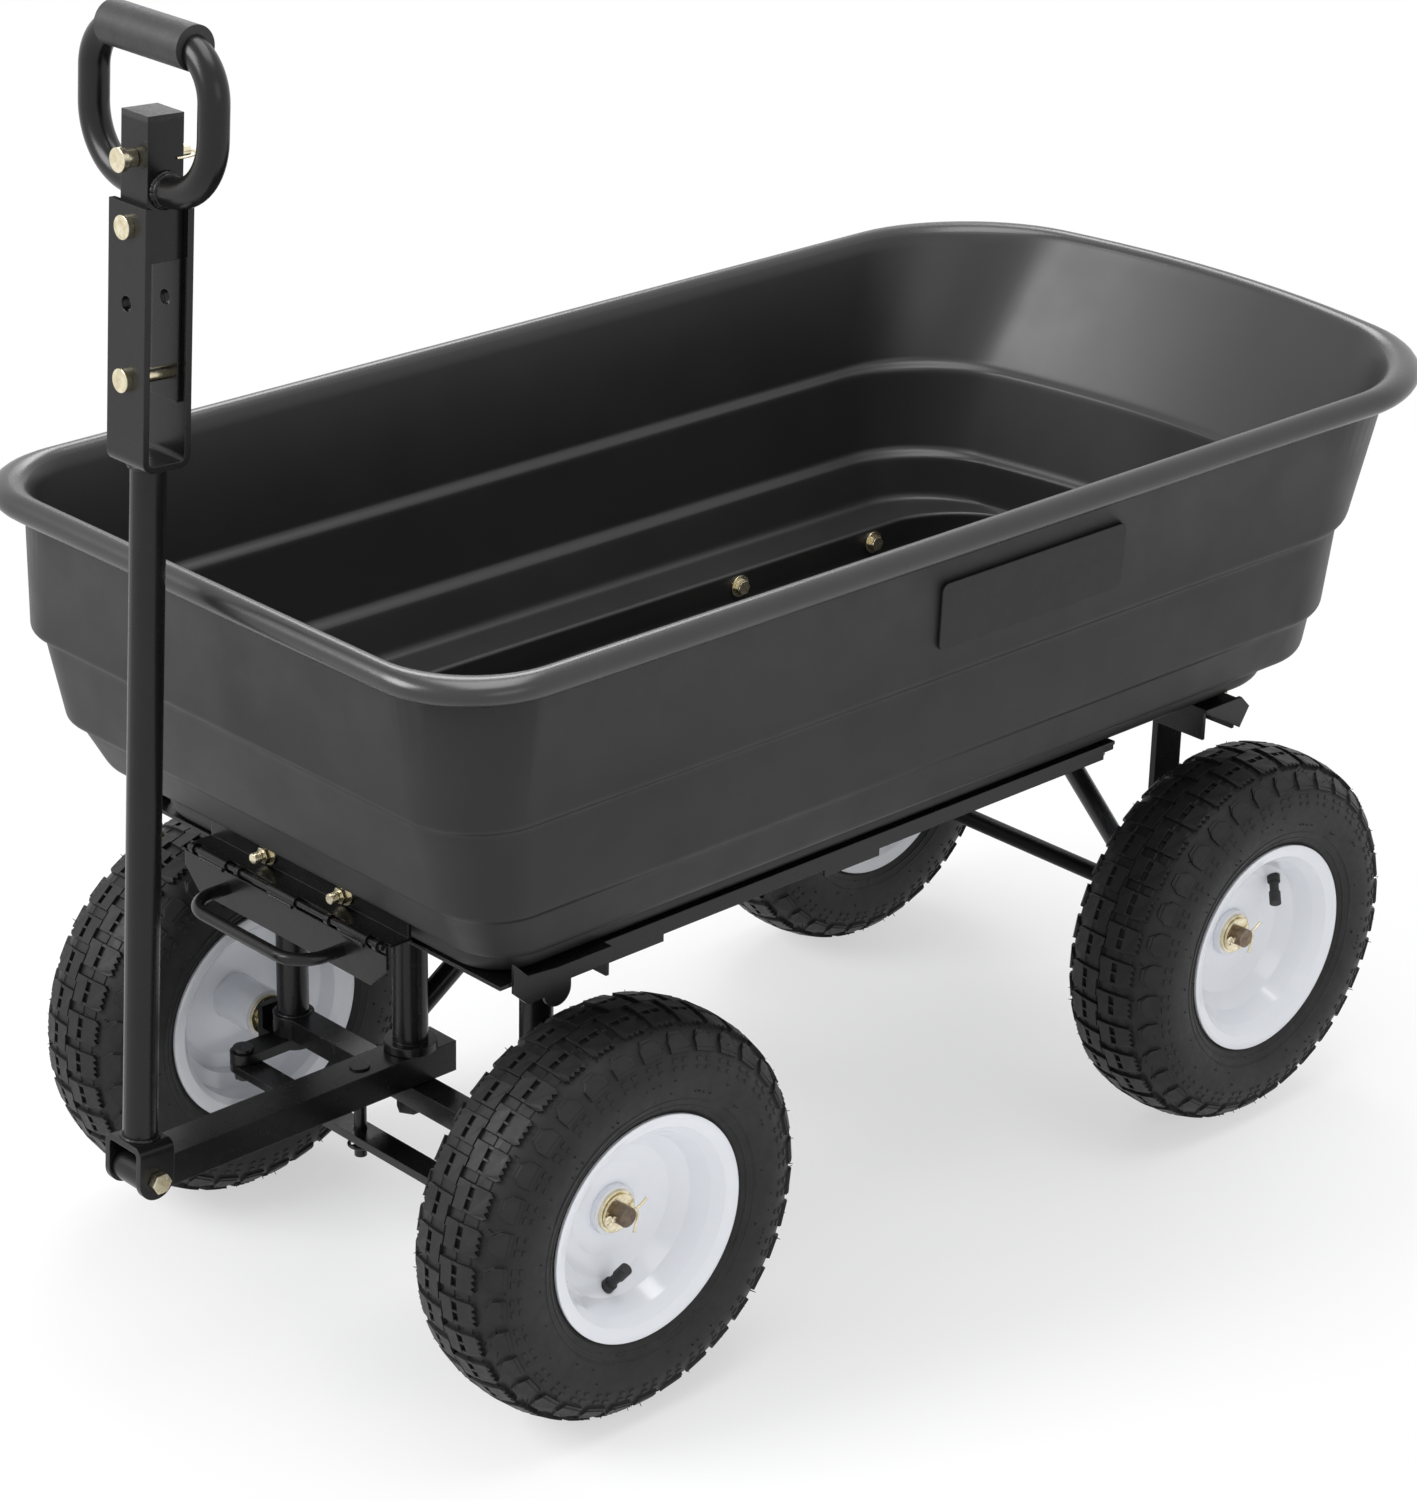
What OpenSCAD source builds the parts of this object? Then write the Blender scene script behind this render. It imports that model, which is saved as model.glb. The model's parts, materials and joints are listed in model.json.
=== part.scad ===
// Tipping dump cart: a stepped plastic tub on a steel four-wheel frame,
// with a steered tongue and an upright pull handle.
// Millimetres. +X is forward, +Y is the cart's left, +Z is up. The wheels stand on z = 0.

/* [Wheels] */
// distance between the front and the rear axle
wheel_base = 713; // [660:1:760]
// distance between the middle planes of a pair of wheels
track = 460; // [450:1:480]
// outside diameter of the pneumatic tyre
tyre_d = 330; // [318:1:340]
// section width of the tyre
tyre_w = 104; // [96:1:110]
// diameter over the wheel rim flanges
rim_d = 184; // [176:1:190]
// width over the wheel rim flanges
rim_w = 92; // [86:1:96]
// diameter of the rear axle and the stub axles
axle_d = 16; // [14:0.5:18]

/* [Tub] */
// reach of the rolled rim in front of the front axle
front_overhang = 203; // [196:1:212]
// reach of the rolled rim behind the rear axle
rear_overhang = 229; // [222:1:236]
// reach of the rolled rim past the middle plane of the wheels, on each side
side_overhang = 66.5; // [62:0.5:72]
// height from the underside of the floor to the top of the rolled rim
tub_h = 281; // [270:1:320]
// height of the underside of the floor above the tops of the tyres
tyre_clear = 41; // [38:1:50]
// thickness of the moulded wall
wall_t = 5; // [4:0.5:6]
// diameter of the rolled rim
roll_d = 21; // [18:0.5:24]

/* [Frame] */
// outside diameter of the front outer posts
post_d = 26; // [25:1:30]
// outside diameter of the front centre post
centre_post_d = 28; // [26:1:32]
// height of the front axle beam
beam_h = 18; // [16:1:20]
// depth of the front axle beam
beam_depth = 24; // [22:1:30]
// thickness of the pressed steel sheet
sheet_t = 3; // [2.5:0.5:3.5]
// outside diameter of the brace tubes
brace_d = 18; // [16:1:20]

/* [Steering] */
// width of the rectangular tongue tube
tongue_w = 32; // [30:1:34]
// height of the rectangular tongue tube
tongue_h = 26; // [24:1:28]
// distance of the handle pivot in front of the tub's rim
handle_ahead = 58; // [56:1:80]
// length of the steering arms
arm_reach = 51; // [48:1:56]

/* [Handle] */
// outside diameter of the round handle tube
handle_d = 26; // [24:1:28]
// height of the clevis above the handle pivot
clevis_z = 551; // [520:1:580]
// backward lean of the handle at rest, degrees
handle_lean_angle = 3.1; // [2:0.1:3.2]
// outside width of the square grip column
column_w = 30; // [28:1:32]
// outside diameter of the grip ring tube
ring_d = 22; // [20:1:24]
// width between the tube middles of the grip ring
ring_w = 134; // [120:1:150]
// outside diameter of the soft grip sleeve
sleeve_d = 32; // [30:1:36]

/* [Hidden] */
$fn = 72;

// colours
poly_black = [0.13, 0.13, 0.135];
coat_black = [0.09, 0.09, 0.09];
zinc_yellow = [0.78, 0.68, 0.42];
axle_brown = [0.36, 0.30, 0.24];
rim_white = [0.93, 0.94, 0.96];
rubber_black = [0.08, 0.08, 0.08];
label_grey = [0.2, 0.2, 0.21];

// shared fits
cut = 1;
run_fit = 0.1;
free_gap = 0.5;
weld_bite = 1;

// wheel stations
front_x = wheel_base / 2;
rear_x = -wheel_base / 2;
wheel_y = track / 2;
axle_z = tyre_d / 2;
post_in = 30;
post_y = wheel_y - tyre_w / 2 - post_in;

// tub
floor_z = tyre_d + tyre_clear;
rim_top = floor_z + tub_h;
roll_r = roll_d / 2;
rim_cz = rim_top - roll_r;
rim_half_w = wheel_y + side_overhang - roll_r;
rim_front = front_x + front_overhang - roll_r;
rim_rear = rear_overhang - rear_x - roll_r;
rear_bow = 50;
front_corner_r = 80;
rear_corner_r = 112;
side_inset = 90;
front_inset = 110;
rear_inset = 106;
tub_rise = rim_cz - floor_z;
floor_half_w = rim_half_w - side_inset;
quarter_angle = 90;
corner_steps = 9;
bow_steps = 7;
roll_steps = 9;
// height, side, front and rear inset shares of the outer wall, from the floor edge up to the roll
wall_shares = [[0, 1, 1, 1], [0.008, 0.945, 0.945, 0.94], [0.03, 0.92, 0.91, 0.91],
  [0.075, 0.92, 0.885, 0.89], [0.099, 0.92, 0.88, 0.885], [0.125, 0.92, 0.872, 0.88],
  [0.135, 0.5, 0.66, 0.87], [0.15, 0.46, 0.62, 0.865],
  [0.268, 0.36, 0.46, 0.85], [0.28, 0.345, 0.445, 0.845], [0.296, 0.267, 0.374, 0.808],
  [0.562, 0.2, 0.205, 0.645], [0.573, 0.185, 0.19, 0.635], [0.586, 0.122, 0.13, 0.594],
  [0.962, 0.09, 0.073, 0.095]];
keel_wall = wall_shares[4];
keel_y = rim_half_w - side_inset * keel_wall[1];
corner_shrink_share = 0.55;
rear_shrink_share = 0.45;
bow_shrink_share = 0.4;
// rise of the inner wall above the outer wall and of its foot, as shares of the wall thickness
lift_share = 1;
foot_share = 1.6;
roll_from = -125;
roll_to = 165;

// floor ridges: middle y and width shares of the floor, ridge height
ridge_y_share = [-0.806, 0, 0.806];
ridge_w = 62;
ridge_top_w = 46;
ridge_h = 9;
ridge_behind = 26.5;
ridge_front = front_x - ridge_behind;
ridge_past = 43.5;
ridge_rear = rear_x - ridge_past;

// frame levels
frame_top = floor_z - free_gap;
beam_sink = 1;
beam_top = axle_z + beam_h - beam_sink;
beam_bottom = beam_top - beam_h;
tongue_z = beam_top + free_gap;
tongue_top = tongue_z + tongue_h;
pivot_z = tongue_z + tongue_h / 2;
pivot_x = front_x + front_overhang + handle_ahead;

// front bolster, an inverted channel with end plates that cup the tub corners
bolster_rear = front_x - max(post_d, centre_post_d) / 2 - sheet_t;
bracket_in_share = 0.88;
bracket_x = rim_front - front_inset * bracket_in_share;
bolster_behind = 6.7;
bolster_front = bracket_x - bolster_behind;
bolster_past = 13.5;
bolster_half_y = floor_half_w + bolster_past;
bolster_drop = 25;
// half length of the turned-down lip that the latch claw hooks behind
lip_half_y = 80;
wing_behind = 11;
wing_front = bolster_front - wing_behind;
wing_rise = 15;
wing_top = floor_z + wing_rise;
wing_lobe_r = 13;
wing_lobe_behind = 42;
wing_lobe_x = wing_front - wing_lobe_behind;
wing_lobe_under = 19;
wing_lobe_z = floor_z - wing_lobe_under;
wing_nose_under = 9;
wing_nose_z = floor_z - wing_nose_under;
wing_heel_under = 21;
wing_heel_z = floor_z - wing_heel_under;
wing_band_h = 13;

// posts, collars and king bolt
foot_d = 34;
collar_d = 42;
collar_h = 7;
king_d = 12;
king_head_d = 24;
king_head_h = 10;
kingpin_d = 16;

// side rails
rail_past = 8;
rail_y = floor_half_w + rail_past;
rail_leg = 27;
rail_drop = 13;
front_bar_behind = 204.5;
front_bar_x = front_x - front_bar_behind;
middle_bar_behind = 276.5;
middle_bar_x = front_x - middle_bar_behind;
rear_bar_ahead = 144.5;
rear_bar_x = rear_x + rear_bar_ahead;
rail_end = 13;
rail_rear = rear_bar_x - rail_end;
rail_tab_drop = 6;
rail_tab_l = 60;
bar_w = 30;
bar_t = 6;
rail_bolt_behind = 7;
rail_bolt_x = rear_bar_x - rail_bolt_behind;
rail_bolt_d = 8;

// rear frame
saddle_ahead = 20;
saddle_front = rear_x + saddle_ahead;
saddle_behind = 21;
saddle_rear = rear_x - saddle_behind;
saddle_past = 9;
saddle_half_y = floor_half_w + saddle_past;
saddle_drop = 28;
tip_behind = 33;
tip_x = rear_x - tip_behind;
tip_under = 15;
tip_z = floor_z - tip_under;
tip_d = 10;
eye_r = 11;
strap_w = 24;
strap_t = sheet_t;
strap_y = ridge_y_share[2] * floor_half_w;
strap_reach = 216.5;
strap_front = rear_x + strap_reach;
ear_t = 6;
ear_gap = 1;
rear_post_w = 32;
rear_post_t = 6;
rear_post_in = 28;
rear_post_y = wheel_y - tyre_w / 2 - rear_post_in;
rear_post_foot = 17;
rear_brace_y = rear_post_y - rear_post_t / 2 - brace_d / 2;
stringer_w = 20;
stringer_gap = 7;
stringer_y = rear_brace_y - brace_d / 2 - stringer_gap - stringer_w / 2;
bolt_edge = 15;
bolt_ahead = 56.5;
floor_bolt_xs = [strap_front - bolt_edge, rear_x + bolt_ahead];
floor_bolt_d = 8;
// bolts through the sides of the tub's narrow bottom, a pair on each side
side_bolt_ahead = 8.5;
side_bolt_pitch = 166;
side_bolt_xs = [rear_x + side_bolt_ahead, rear_x + side_bolt_ahead + side_bolt_pitch];
side_bolt_share = 0.094;
side_bolt_z = floor_z + tub_rise * side_bolt_share;

// front bracket and release latch
bracket_half_y = 118;
bracket_rise = 5;
bracket_low = floor_z + bracket_rise;
bracket_gap = 0.8;
bracket_tier_share = 0.099;
bracket_leg = tub_rise * bracket_tier_share - bracket_rise - bracket_gap;
bracket_depth = 20;
bracket_bolt_y = 46;
bracket_bolt_share = 0.62;
bracket_bolt_up = bracket_leg * bracket_bolt_share;
bracket_bolt_z = bracket_low + bracket_bolt_up;
latch_z = bracket_low + sheet_t / 2;
latch_rod_d = 5;
knuckle_d = 9;
knuckle_y = 84;
knuckle_shares = [-1, 0, 1];
knuckle_ys = [for (s = knuckle_shares) s * knuckle_y];
knuckle_l = 40;
latch_x = bracket_x + bracket_depth + knuckle_d / 2 + free_gap;
latch_half_y = 121;
latch_drop = 30;
latch_chamfer = 18;
claw_gap = 2.5;
claw_tip_x = bolster_front + claw_gap;
claw_w = 60;
loop_half_y = 69;
loop_d = 10;
loop_reach = 42;
loop_bend_r = 26;
loop_drop = 14;

// knuckles and steering linkage
stub_past = 23;
stub_tip = wheel_y + stub_past;
back_plate_in = 20;
back_plate_t = 6;
back_plate_half_x = 16;
back_plate_h = 36;
back_plate_low = axle_z - back_plate_h / 2;
back_plate_top = axle_z + back_plate_h / 2;
foot_t = 9;
foot_top = beam_bottom - free_gap;
foot_z = foot_top - foot_t;
arm_w = 22;
tie_t = 7;
tie_z = foot_z - free_gap - tie_t;
tie_bolt_d = 10;
tie_head_h = 3;
tie_nut_h = 7;
tie_pin_under = 16;
tie_pin_tip = tie_z - tie_pin_under;
kingpin_under = 40;
kingpin_top = frame_top - kingpin_under;

// washers, split pins
washer_d = 30;
washer_t = 2;
split_d = 4;
split_l = 26;
bush_flange_d = 34;
bush_flange_t = 3;
hub_out = 8;
hub_in = 46;
hub_bore_d = 26;
side_gap = 0.4;

// handle
lean = [0, -handle_lean_angle, 0];
bracket_ear_t = 5;
bracket_ear_gap = 0.6;
bracket_w = 31;
bracket_web_z = 24;
handle_wall = 2;
clevis_w = 42;
clevis_t = 5;
clevis_h = 188;
clevis_hole_d = 11;
lock_below = 16;
lock_up = clevis_h - lock_below;
pin_up = 64;
hole_up = (pin_up + lock_up) / 2;
clevis_bolt_d = 10;
dome_d = 17;
dome_h = 5;
column_wall = 2.5;
column_foot = 46;
window_below = 40;
column_window_top = clevis_h - window_below;
column_past = 58;
column_top = clevis_h + column_past;
cap_h = 4;
cap_plug = 14;
hitch_past = 31;
hitch_up = clevis_h + hitch_past;
hitch_d = 10;
hitch_tip = 14;
ring_past = 10;
ring_low = clevis_h + ring_past;
ring_h = 103;
ring_high = ring_low + ring_h;
ring_top_r = 34;
ring_low_r = 46;
sleeve_end = 21;
clevis_fit = 0.3;
clevis_in = column_w / 2 + clevis_fit;

// the origin sits under the middle of the overall length
front_reach = pivot_x + bracket_w / 2;
rear_reach = rim_rear + roll_r;
shift_x = -(front_reach - rear_reach) / 2;

// places a sub-part in the shared frame with its colour
module piece(c) color(c) translate([shift_x, 0, 0]) children();

// round bar between two points
module strut(p, q, d) {
  v = q - p;
  reach = norm(v);
  translate(p) rotate([0, acos(v[2] / reach), atan2(v[1], v[0])]) cylinder(d = d, h = reach);
}

// box given by its low corner and its high corner
module span_box(a, b) translate(a) cube(b - a);

// both sides of the middle plane
module both() {
  children();
  mirror([0, 1, 0]) children();
}

// round bar along Y, centred on the middle plane or between two y values
module bar_y(x, y0, y1, z, d) translate([x, y0, z]) rotate([-90, 0, 0]) cylinder(d = d, h = y1 - y0);
module bar_x(x0, x1, y, z, d) translate([x0, y, z]) rotate([0, 90, 0]) cylinder(d = d, h = x1 - x0);
module bar_z(x, y, z0, z1, d) translate([x, y, z0]) cylinder(d = d, h = z1 - z0);

// one horizontal ring of the tub, counter-clockwise from the front left corner
function arc_pt(cx, cy, r, a) = [cx + r * cos(a), cy + r * sin(a)];
function bowed(p, h, bow) = [p[0] - bow * (1 - (p[1] / h) * (p[1] / h)), p[1]];
function ring_plan(f, r, h, rf, rr, bow) = concat(
  [for (i = [0:corner_steps]) arc_pt(f - rf, h - rf, rf, quarter_angle * i / corner_steps)],
  [for (i = [0:corner_steps]) bowed(arc_pt(rr - r, h - rr, rr,
    quarter_angle * (1 + i / corner_steps)), h, bow)],
  [for (i = [1:bow_steps]) bowed([-r, (h - rr) * (1 - 2 * i / (bow_steps + 1))], h, bow)],
  [for (i = [0:corner_steps]) bowed(arc_pt(rr - r, rr - h, rr,
    quarter_angle * (2 + i / corner_steps)), h, bow)],
  [for (i = [0:corner_steps]) arc_pt(f - rf, rf - h, rf,
    quarter_angle * (3 + i / corner_steps))]);
function ring_at(z, s, f, r, share) = [for (p = ring_plan(rim_front - f, rim_rear - rear_bow - r
  + rear_bow * bow_shrink_share * share, rim_half_w - s,
    front_corner_r * (1 - corner_shrink_share * share),
  rear_corner_r * (1 - rear_shrink_share * share), rear_bow * (1 - bow_shrink_share * share))) [p[0],
    p[1], z]];
outer_rings = [for (w = wall_shares) ring_at(floor_z + tub_rise * w[0], side_inset * w[1],
  front_inset * w[2],
  rear_inset * w[3], 1 - w[0])];
roll_rings = [for (i = [0:roll_steps]) let (a = roll_from + (roll_to - roll_from) * i / roll_steps)
  ring_at(rim_cz + roll_r * sin(a), -roll_r * cos(a), -roll_r * cos(a), -roll_r * cos(a), 0)];
wall_count = len(wall_shares);
inner_rings = [for (i = [wall_count - 1:-1:2]) let (w = wall_shares[i])
  ring_at(floor_z + max(tub_rise * w[0] + wall_t * lift_share, wall_t * foot_share),
    side_inset * w[1] + wall_t,
  front_inset * w[2] + wall_t, rear_inset * w[3] + wall_t, 1 - w[0])];
floor_ring = [ring_at(floor_z + wall_t, side_inset + wall_t, front_inset + wall_t, rear_inset + wall_t,
  1)];
tub_rings = concat(outer_rings, roll_rings, inner_rings, floor_ring);
ring_n = 4 * (corner_steps + 1) + bow_steps;
ring_count = len(tub_rings);
function flat(v) = [for (a = v) for (b = a) b];
function tub_idx(i, j) = i * ring_n + j % ring_n;
tub_sides = [for (i = [0:ring_count - 2]) for (j = [0:ring_n - 1]) each
  [[tub_idx(i, j), tub_idx(i + 1, j), tub_idx(i, j + 1)], [tub_idx(i, j + 1), tub_idx(i + 1, j),
    tub_idx(i + 1, j + 1)]]];
tub_faces = concat(tub_sides, [[for (j = [0:ring_n - 1]) j]],
  [[for (j = [ring_n - 1:-1:0]) tub_idx(ring_count - 1, j)]]);

module floor_ridge(y) translate([ridge_rear, y, floor_z + wall_t - weld_bite]) rotate([90, 0, 90])
  linear_extrude(ridge_front - ridge_rear)
    polygon([[-ridge_w / 2, 0], [ridge_w / 2, 0], [ridge_top_w / 2, ridge_h + weld_bite],
      [-ridge_top_w / 2, ridge_h + weld_bite]]);
ridge_ys = [for (s = ridge_y_share) s * floor_half_w];
module floor_bolt_holes() for (x = floor_bolt_xs) both()
  bar_z(x, strap_y, floor_z - cut, floor_z + wall_t + ridge_h + cut, floor_bolt_d);
module side_bolt_holes() for (x = side_bolt_xs) both()
  bar_y(x, keel_y - bracket_depth, keel_y + bracket_depth, side_bolt_z, floor_bolt_d);
module bracket_bolt_holes() both()
  bar_x(bracket_x - bracket_depth, bracket_x + bracket_depth, bracket_bolt_y, bracket_bolt_z,
    rail_bolt_d);
module tub() piece(poly_black) difference() {
  union() {
    polyhedron(points = flat(tub_rings), faces = tub_faces, convexity = 10);
    for (y = ridge_ys) floor_ridge(y);
  }
  floor_bolt_holes();
  side_bolt_holes();
  bracket_bolt_holes();
}

// raised blank plates on the long sides
label_l = 205;
label_h = 54;
label_t = 2.5;
label_r = 6;
label_x = -30;
label_z_share = 0.773;
low_wall = wall_shares[13];
high_wall = wall_shares[14];
label_z = floor_z + tub_rise * label_z_share;
wall_lean = side_inset * (low_wall[1] - high_wall[1]) / (high_wall[0] - low_wall[0]);
label_slope = atan(wall_lean / tub_rise);
label_y = rim_half_w - side_inset * low_wall[1] + wall_lean * (label_z_share - low_wall[0]);
module label_plate() translate([label_x, label_y, label_z]) rotate([90 + label_slope, 0, 180])
  linear_extrude(label_t) {
    square([label_l, label_h - 2 * label_r], center = true);
    square([label_l - 2 * label_r, label_h], center = true);
    for (sx = [-1, 1]) for (sy = [-1, 1])
      translate([sx * (label_l / 2 - label_r), sy * (label_h / 2 - label_r)]) circle(label_r);
  }
module label_plates() piece(label_grey) both() label_plate();

// bolt with a hexagon head up, a nut below and a washer under the head
hex_share = 1.7;
head_share = 0.65;
module hex_bolt(d, grip, tail) {
  cylinder(d = d * hex_share, h = d * head_share, $fn = 6);
  translate([0, 0, -grip - tail]) cylinder(d = d, h = grip + tail + d * head_share / 2);
  translate([0, 0, -grip - d * head_share]) cylinder(d = d * hex_share, h = d * head_share, $fn = 6);
}
floor_washer_d = 20;
floor_washer_t = 2;
module washer_bolt(grip, tail) {
  cylinder(d = floor_washer_d, h = floor_washer_t);
  translate([0, 0, floor_washer_t]) hex_bolt(floor_bolt_d, floor_washer_t + grip, tail);
}
module floor_bolts() piece(zinc_yellow) {
  for (x = floor_bolt_xs) both()
    translate([x, strap_y, floor_z + wall_t + floor_ridge_rise(strap_y)])
      washer_bolt(wall_t + floor_ridge_rise(strap_y) + strap_t, floor_bolt_d);
  for (x = side_bolt_xs) both()
    translate([x, keel_y - wall_t, side_bolt_z]) rotate([90, 0, 0])
      washer_bolt(wall_t, floor_bolt_d);
}
function floor_ridge_rise(y) = max([for (r = ridge_ys) abs(abs(y) - r) < ridge_top_w / 2 ? ridge_h : 0]);

// hinge straps bolted under the floor, each with an eye round the tip pin
module hinge_strap() difference() {
  union() {
    span_box([tip_x, strap_y - strap_w / 2, floor_z - strap_t],
      [strap_front, strap_y + strap_w / 2, floor_z]);
    bar_y(tip_x, strap_y - strap_w / 2, strap_y + strap_w / 2, tip_z, 2 * eye_r);
    span_box([tip_x - eye_r, strap_y - strap_w / 2, tip_z], [tip_x, strap_y + strap_w / 2, floor_z]);
  }
  bar_y(tip_x, strap_y - strap_w, strap_y + strap_w, tip_z, tip_d + 2 * run_fit);
  for (x = floor_bolt_xs) bar_z(x, strap_y, floor_z - strap_w, floor_z + cut, floor_bolt_d);
}
module hinge_straps() piece(coat_black) both() hinge_strap();

// angle bracket on the front wall, with lugs that hold the latch rod
lug_t = 4;
lug_near = 52;
lug_far = 108;
lug_ys = [-lug_far - lug_t, -lug_near - lug_t, lug_near, lug_far];
module front_bracket() piece(coat_black) difference() {
  union() {
    span_box([bracket_x, -bracket_half_y, bracket_low], [bracket_x + sheet_t, bracket_half_y,
      bracket_low + bracket_leg]);
    span_box([bracket_x, -bracket_half_y, bracket_low],
      [bracket_x + bracket_depth, bracket_half_y, bracket_low + sheet_t]);
    for (y = lug_ys) bar_y(latch_x, y, y + lug_t, latch_z, knuckle_d);
    for (y = lug_ys)
      span_box([bracket_x + bracket_depth - weld_bite, y, bracket_low],
        [latch_x, y + lug_t, bracket_low + sheet_t]);
  }
  bracket_bolt_holes();
  bar_y(latch_x, -bracket_half_y - cut, bracket_half_y + cut, latch_z, latch_rod_d);
}
bracket_washer_gap = 1;
bracket_washer_d = 2 * (bracket_bolt_up - sheet_t - bracket_washer_gap);
bolt_head_in = 6;
stud_l = 14;
module bracket_bolt() translate([bracket_x - wall_t - bolt_head_in, bracket_bolt_y, bracket_bolt_z])
  rotate([0, -quarter_angle, 0]) rotate([0, 0, quarter_angle / 3])
  hex_bolt(rail_bolt_d, bolt_head_in + wall_t + sheet_t + floor_washer_t, stud_l);
module bracket_bolts() piece(zinc_yellow) both() {
  bracket_bolt();
  bar_x(bracket_x + sheet_t, bracket_x + sheet_t + floor_washer_t, bracket_bolt_y, bracket_bolt_z,
    bracket_washer_d);
}

// release latch: rod, hanging plate with claw, pull loop
module latch_rod() piece(zinc_yellow) bar_y(latch_x, -lug_far - 2 * lug_t,
  lug_far + 2 * lug_t, latch_z, latch_rod_d);
module latch_outline() polygon([[-latch_half_y, 0], [latch_half_y, 0],
  [latch_half_y, -latch_drop + latch_chamfer],
  [latch_half_y - latch_chamfer, -latch_drop], [-latch_half_y + latch_chamfer, -latch_drop],
  [-latch_half_y, -latch_drop + latch_chamfer]]);
latch_plate_z = latch_z - knuckle_d / 2 - free_gap;
module latch_plate() piece(coat_black) difference() {
  union() {
    translate([latch_x - sheet_t / 2, 0, latch_plate_z]) rotate([90, 0, 90]) linear_extrude(sheet_t)
      latch_outline();
    for (y = knuckle_ys) bar_y(latch_x, y - knuckle_l / 2 + lug_t, y + knuckle_l / 2 - lug_t, latch_z,
      knuckle_d);
    for (y = knuckle_ys) span_box([latch_x - sheet_t / 2, y - knuckle_l / 2 + lug_t,
      latch_plate_z - weld_bite],
      [latch_x + sheet_t / 2, y + knuckle_l / 2 - lug_t, latch_z]);
    span_box([claw_tip_x, -claw_w / 2, latch_plate_z - latch_drop],
      [latch_x, claw_w / 2, latch_plate_z - latch_drop + sheet_t]);
  }
  bar_y(latch_x, -latch_half_y, latch_half_y, latch_z, latch_rod_d + 2 * run_fit);
}
loop_z = latch_plate_z - loop_drop;
loop_in = latch_x + sheet_t / 2;
loop_x = latch_x + loop_reach;
module loop_bend() translate([loop_x - loop_bend_r, loop_half_y - loop_bend_r, loop_z])
  rotate_extrude(angle = 90)
  translate([loop_bend_r, 0]) circle(d = loop_d);
module latch_loop() piece(coat_black) {
  both() {
    bar_x(loop_in, loop_x - loop_bend_r, loop_half_y, loop_z, loop_d);
    loop_bend();
  }
  bar_y(loop_x, loop_bend_r - loop_half_y, loop_half_y - loop_bend_r, loop_z, loop_d);
}

// front bolster
module wing_outline() {
  polygon([[bolster_rear, frame_top], [bolster_rear, frame_top - wing_band_h],
    [wing_lobe_x - wing_lobe_r, frame_top - wing_band_h], [wing_lobe_x - wing_lobe_r, wing_lobe_z],
    [wing_lobe_x + wing_lobe_r, wing_lobe_z], [wing_lobe_x + wing_lobe_r, wing_heel_z],
    [wing_front - wing_lobe_r, wing_heel_z], [wing_front, wing_nose_z], [wing_front, wing_top],
    [wing_front - wing_band_h, wing_top - wing_band_h], [wing_lobe_x, frame_top]]);
  translate([wing_lobe_x, wing_lobe_z]) circle(wing_lobe_r);
}
module end_plate(y) translate([0, y + sheet_t, 0]) rotate([90, 0, 0]) linear_extrude(sheet_t) children();
module channel(x0, x1, half_y, top, drop) {
  span_box([x0, -half_y, top - sheet_t], [x1, half_y, top]);
  span_box([x0, -half_y, top - drop], [x0 + sheet_t, half_y, top]);
  span_box([x1 - sheet_t, -half_y, top - drop], [x1, half_y, top]);
}
module front_bolster() piece(coat_black) {
  span_box([bolster_rear, -bolster_half_y, frame_top - sheet_t], [bolster_front, bolster_half_y, frame_top]);
  span_box([bolster_rear, -bolster_half_y, frame_top - bolster_drop], [bolster_rear + sheet_t, bolster_half_y,
    frame_top]);
  span_box([bolster_front - sheet_t, -lip_half_y, frame_top - bolster_drop], [bolster_front, lip_half_y,
    frame_top]);
  both() end_plate(bolster_half_y) wing_outline();
}

// front posts and beam
web_under = frame_top - sheet_t;
module front_posts() piece(coat_black) both() difference() {
  bar_z(front_x, post_y, beam_top, web_under, post_d);
  bar_z(front_x, post_y, beam_top - cut, web_under + cut, kingpin_d + 2 * run_fit);
}
king_up = 60;
post_foot = tongue_top + free_gap;
module centre_post() piece(coat_black) difference() {
  union() {
    bar_z(front_x, 0, post_foot, web_under, centre_post_d);
    bar_z(front_x, 0, post_foot, post_foot + collar_h, collar_d);
  }
  bar_z(front_x, 0, post_foot - cut, post_foot + king_up, king_d);
  bar_z(front_x, 0, post_foot + king_up + cut, web_under + cut, centre_post_d - 2 * sheet_t);
}
module king_bolt() piece(zinc_yellow) {
  bar_z(front_x, 0, beam_bottom - king_head_h - free_gap, post_foot + king_up, king_d);
  translate([front_x, 0, beam_bottom - king_head_h]) cylinder(d = king_head_d, h = king_head_h, $fn = 6);
}
module front_beam() piece(coat_black) difference() {
  union() {
    span_box([front_x - beam_depth / 2, -post_y, beam_bottom],
      [front_x + beam_depth / 2, post_y, beam_top]);
    both() bar_z(front_x, post_y, beam_bottom, beam_top, foot_d);
  }
  both() bar_z(front_x, post_y, beam_bottom - cut, beam_top + cut, kingpin_d + 2 * run_fit);
  bar_z(front_x, 0, beam_bottom - cut, beam_top + cut, king_d);
}

// centre brace from the centre post up to the first cross bar
bar_under = web_under - bar_t;
brace_low_z = post_foot + collar_h + brace_d;
module centre_brace() piece(coat_black) difference() {
  strut([front_x, 0, brace_low_z], [front_bar_x, 0, bar_under + brace_d / 2], brace_d);
  bar_z(front_x, 0, post_foot, web_under, centre_post_d);
  span_box([front_bar_x - bar_w, -bar_w, bar_under], [front_bar_x + bar_w, bar_w, bar_under + bar_w]);
}

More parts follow.
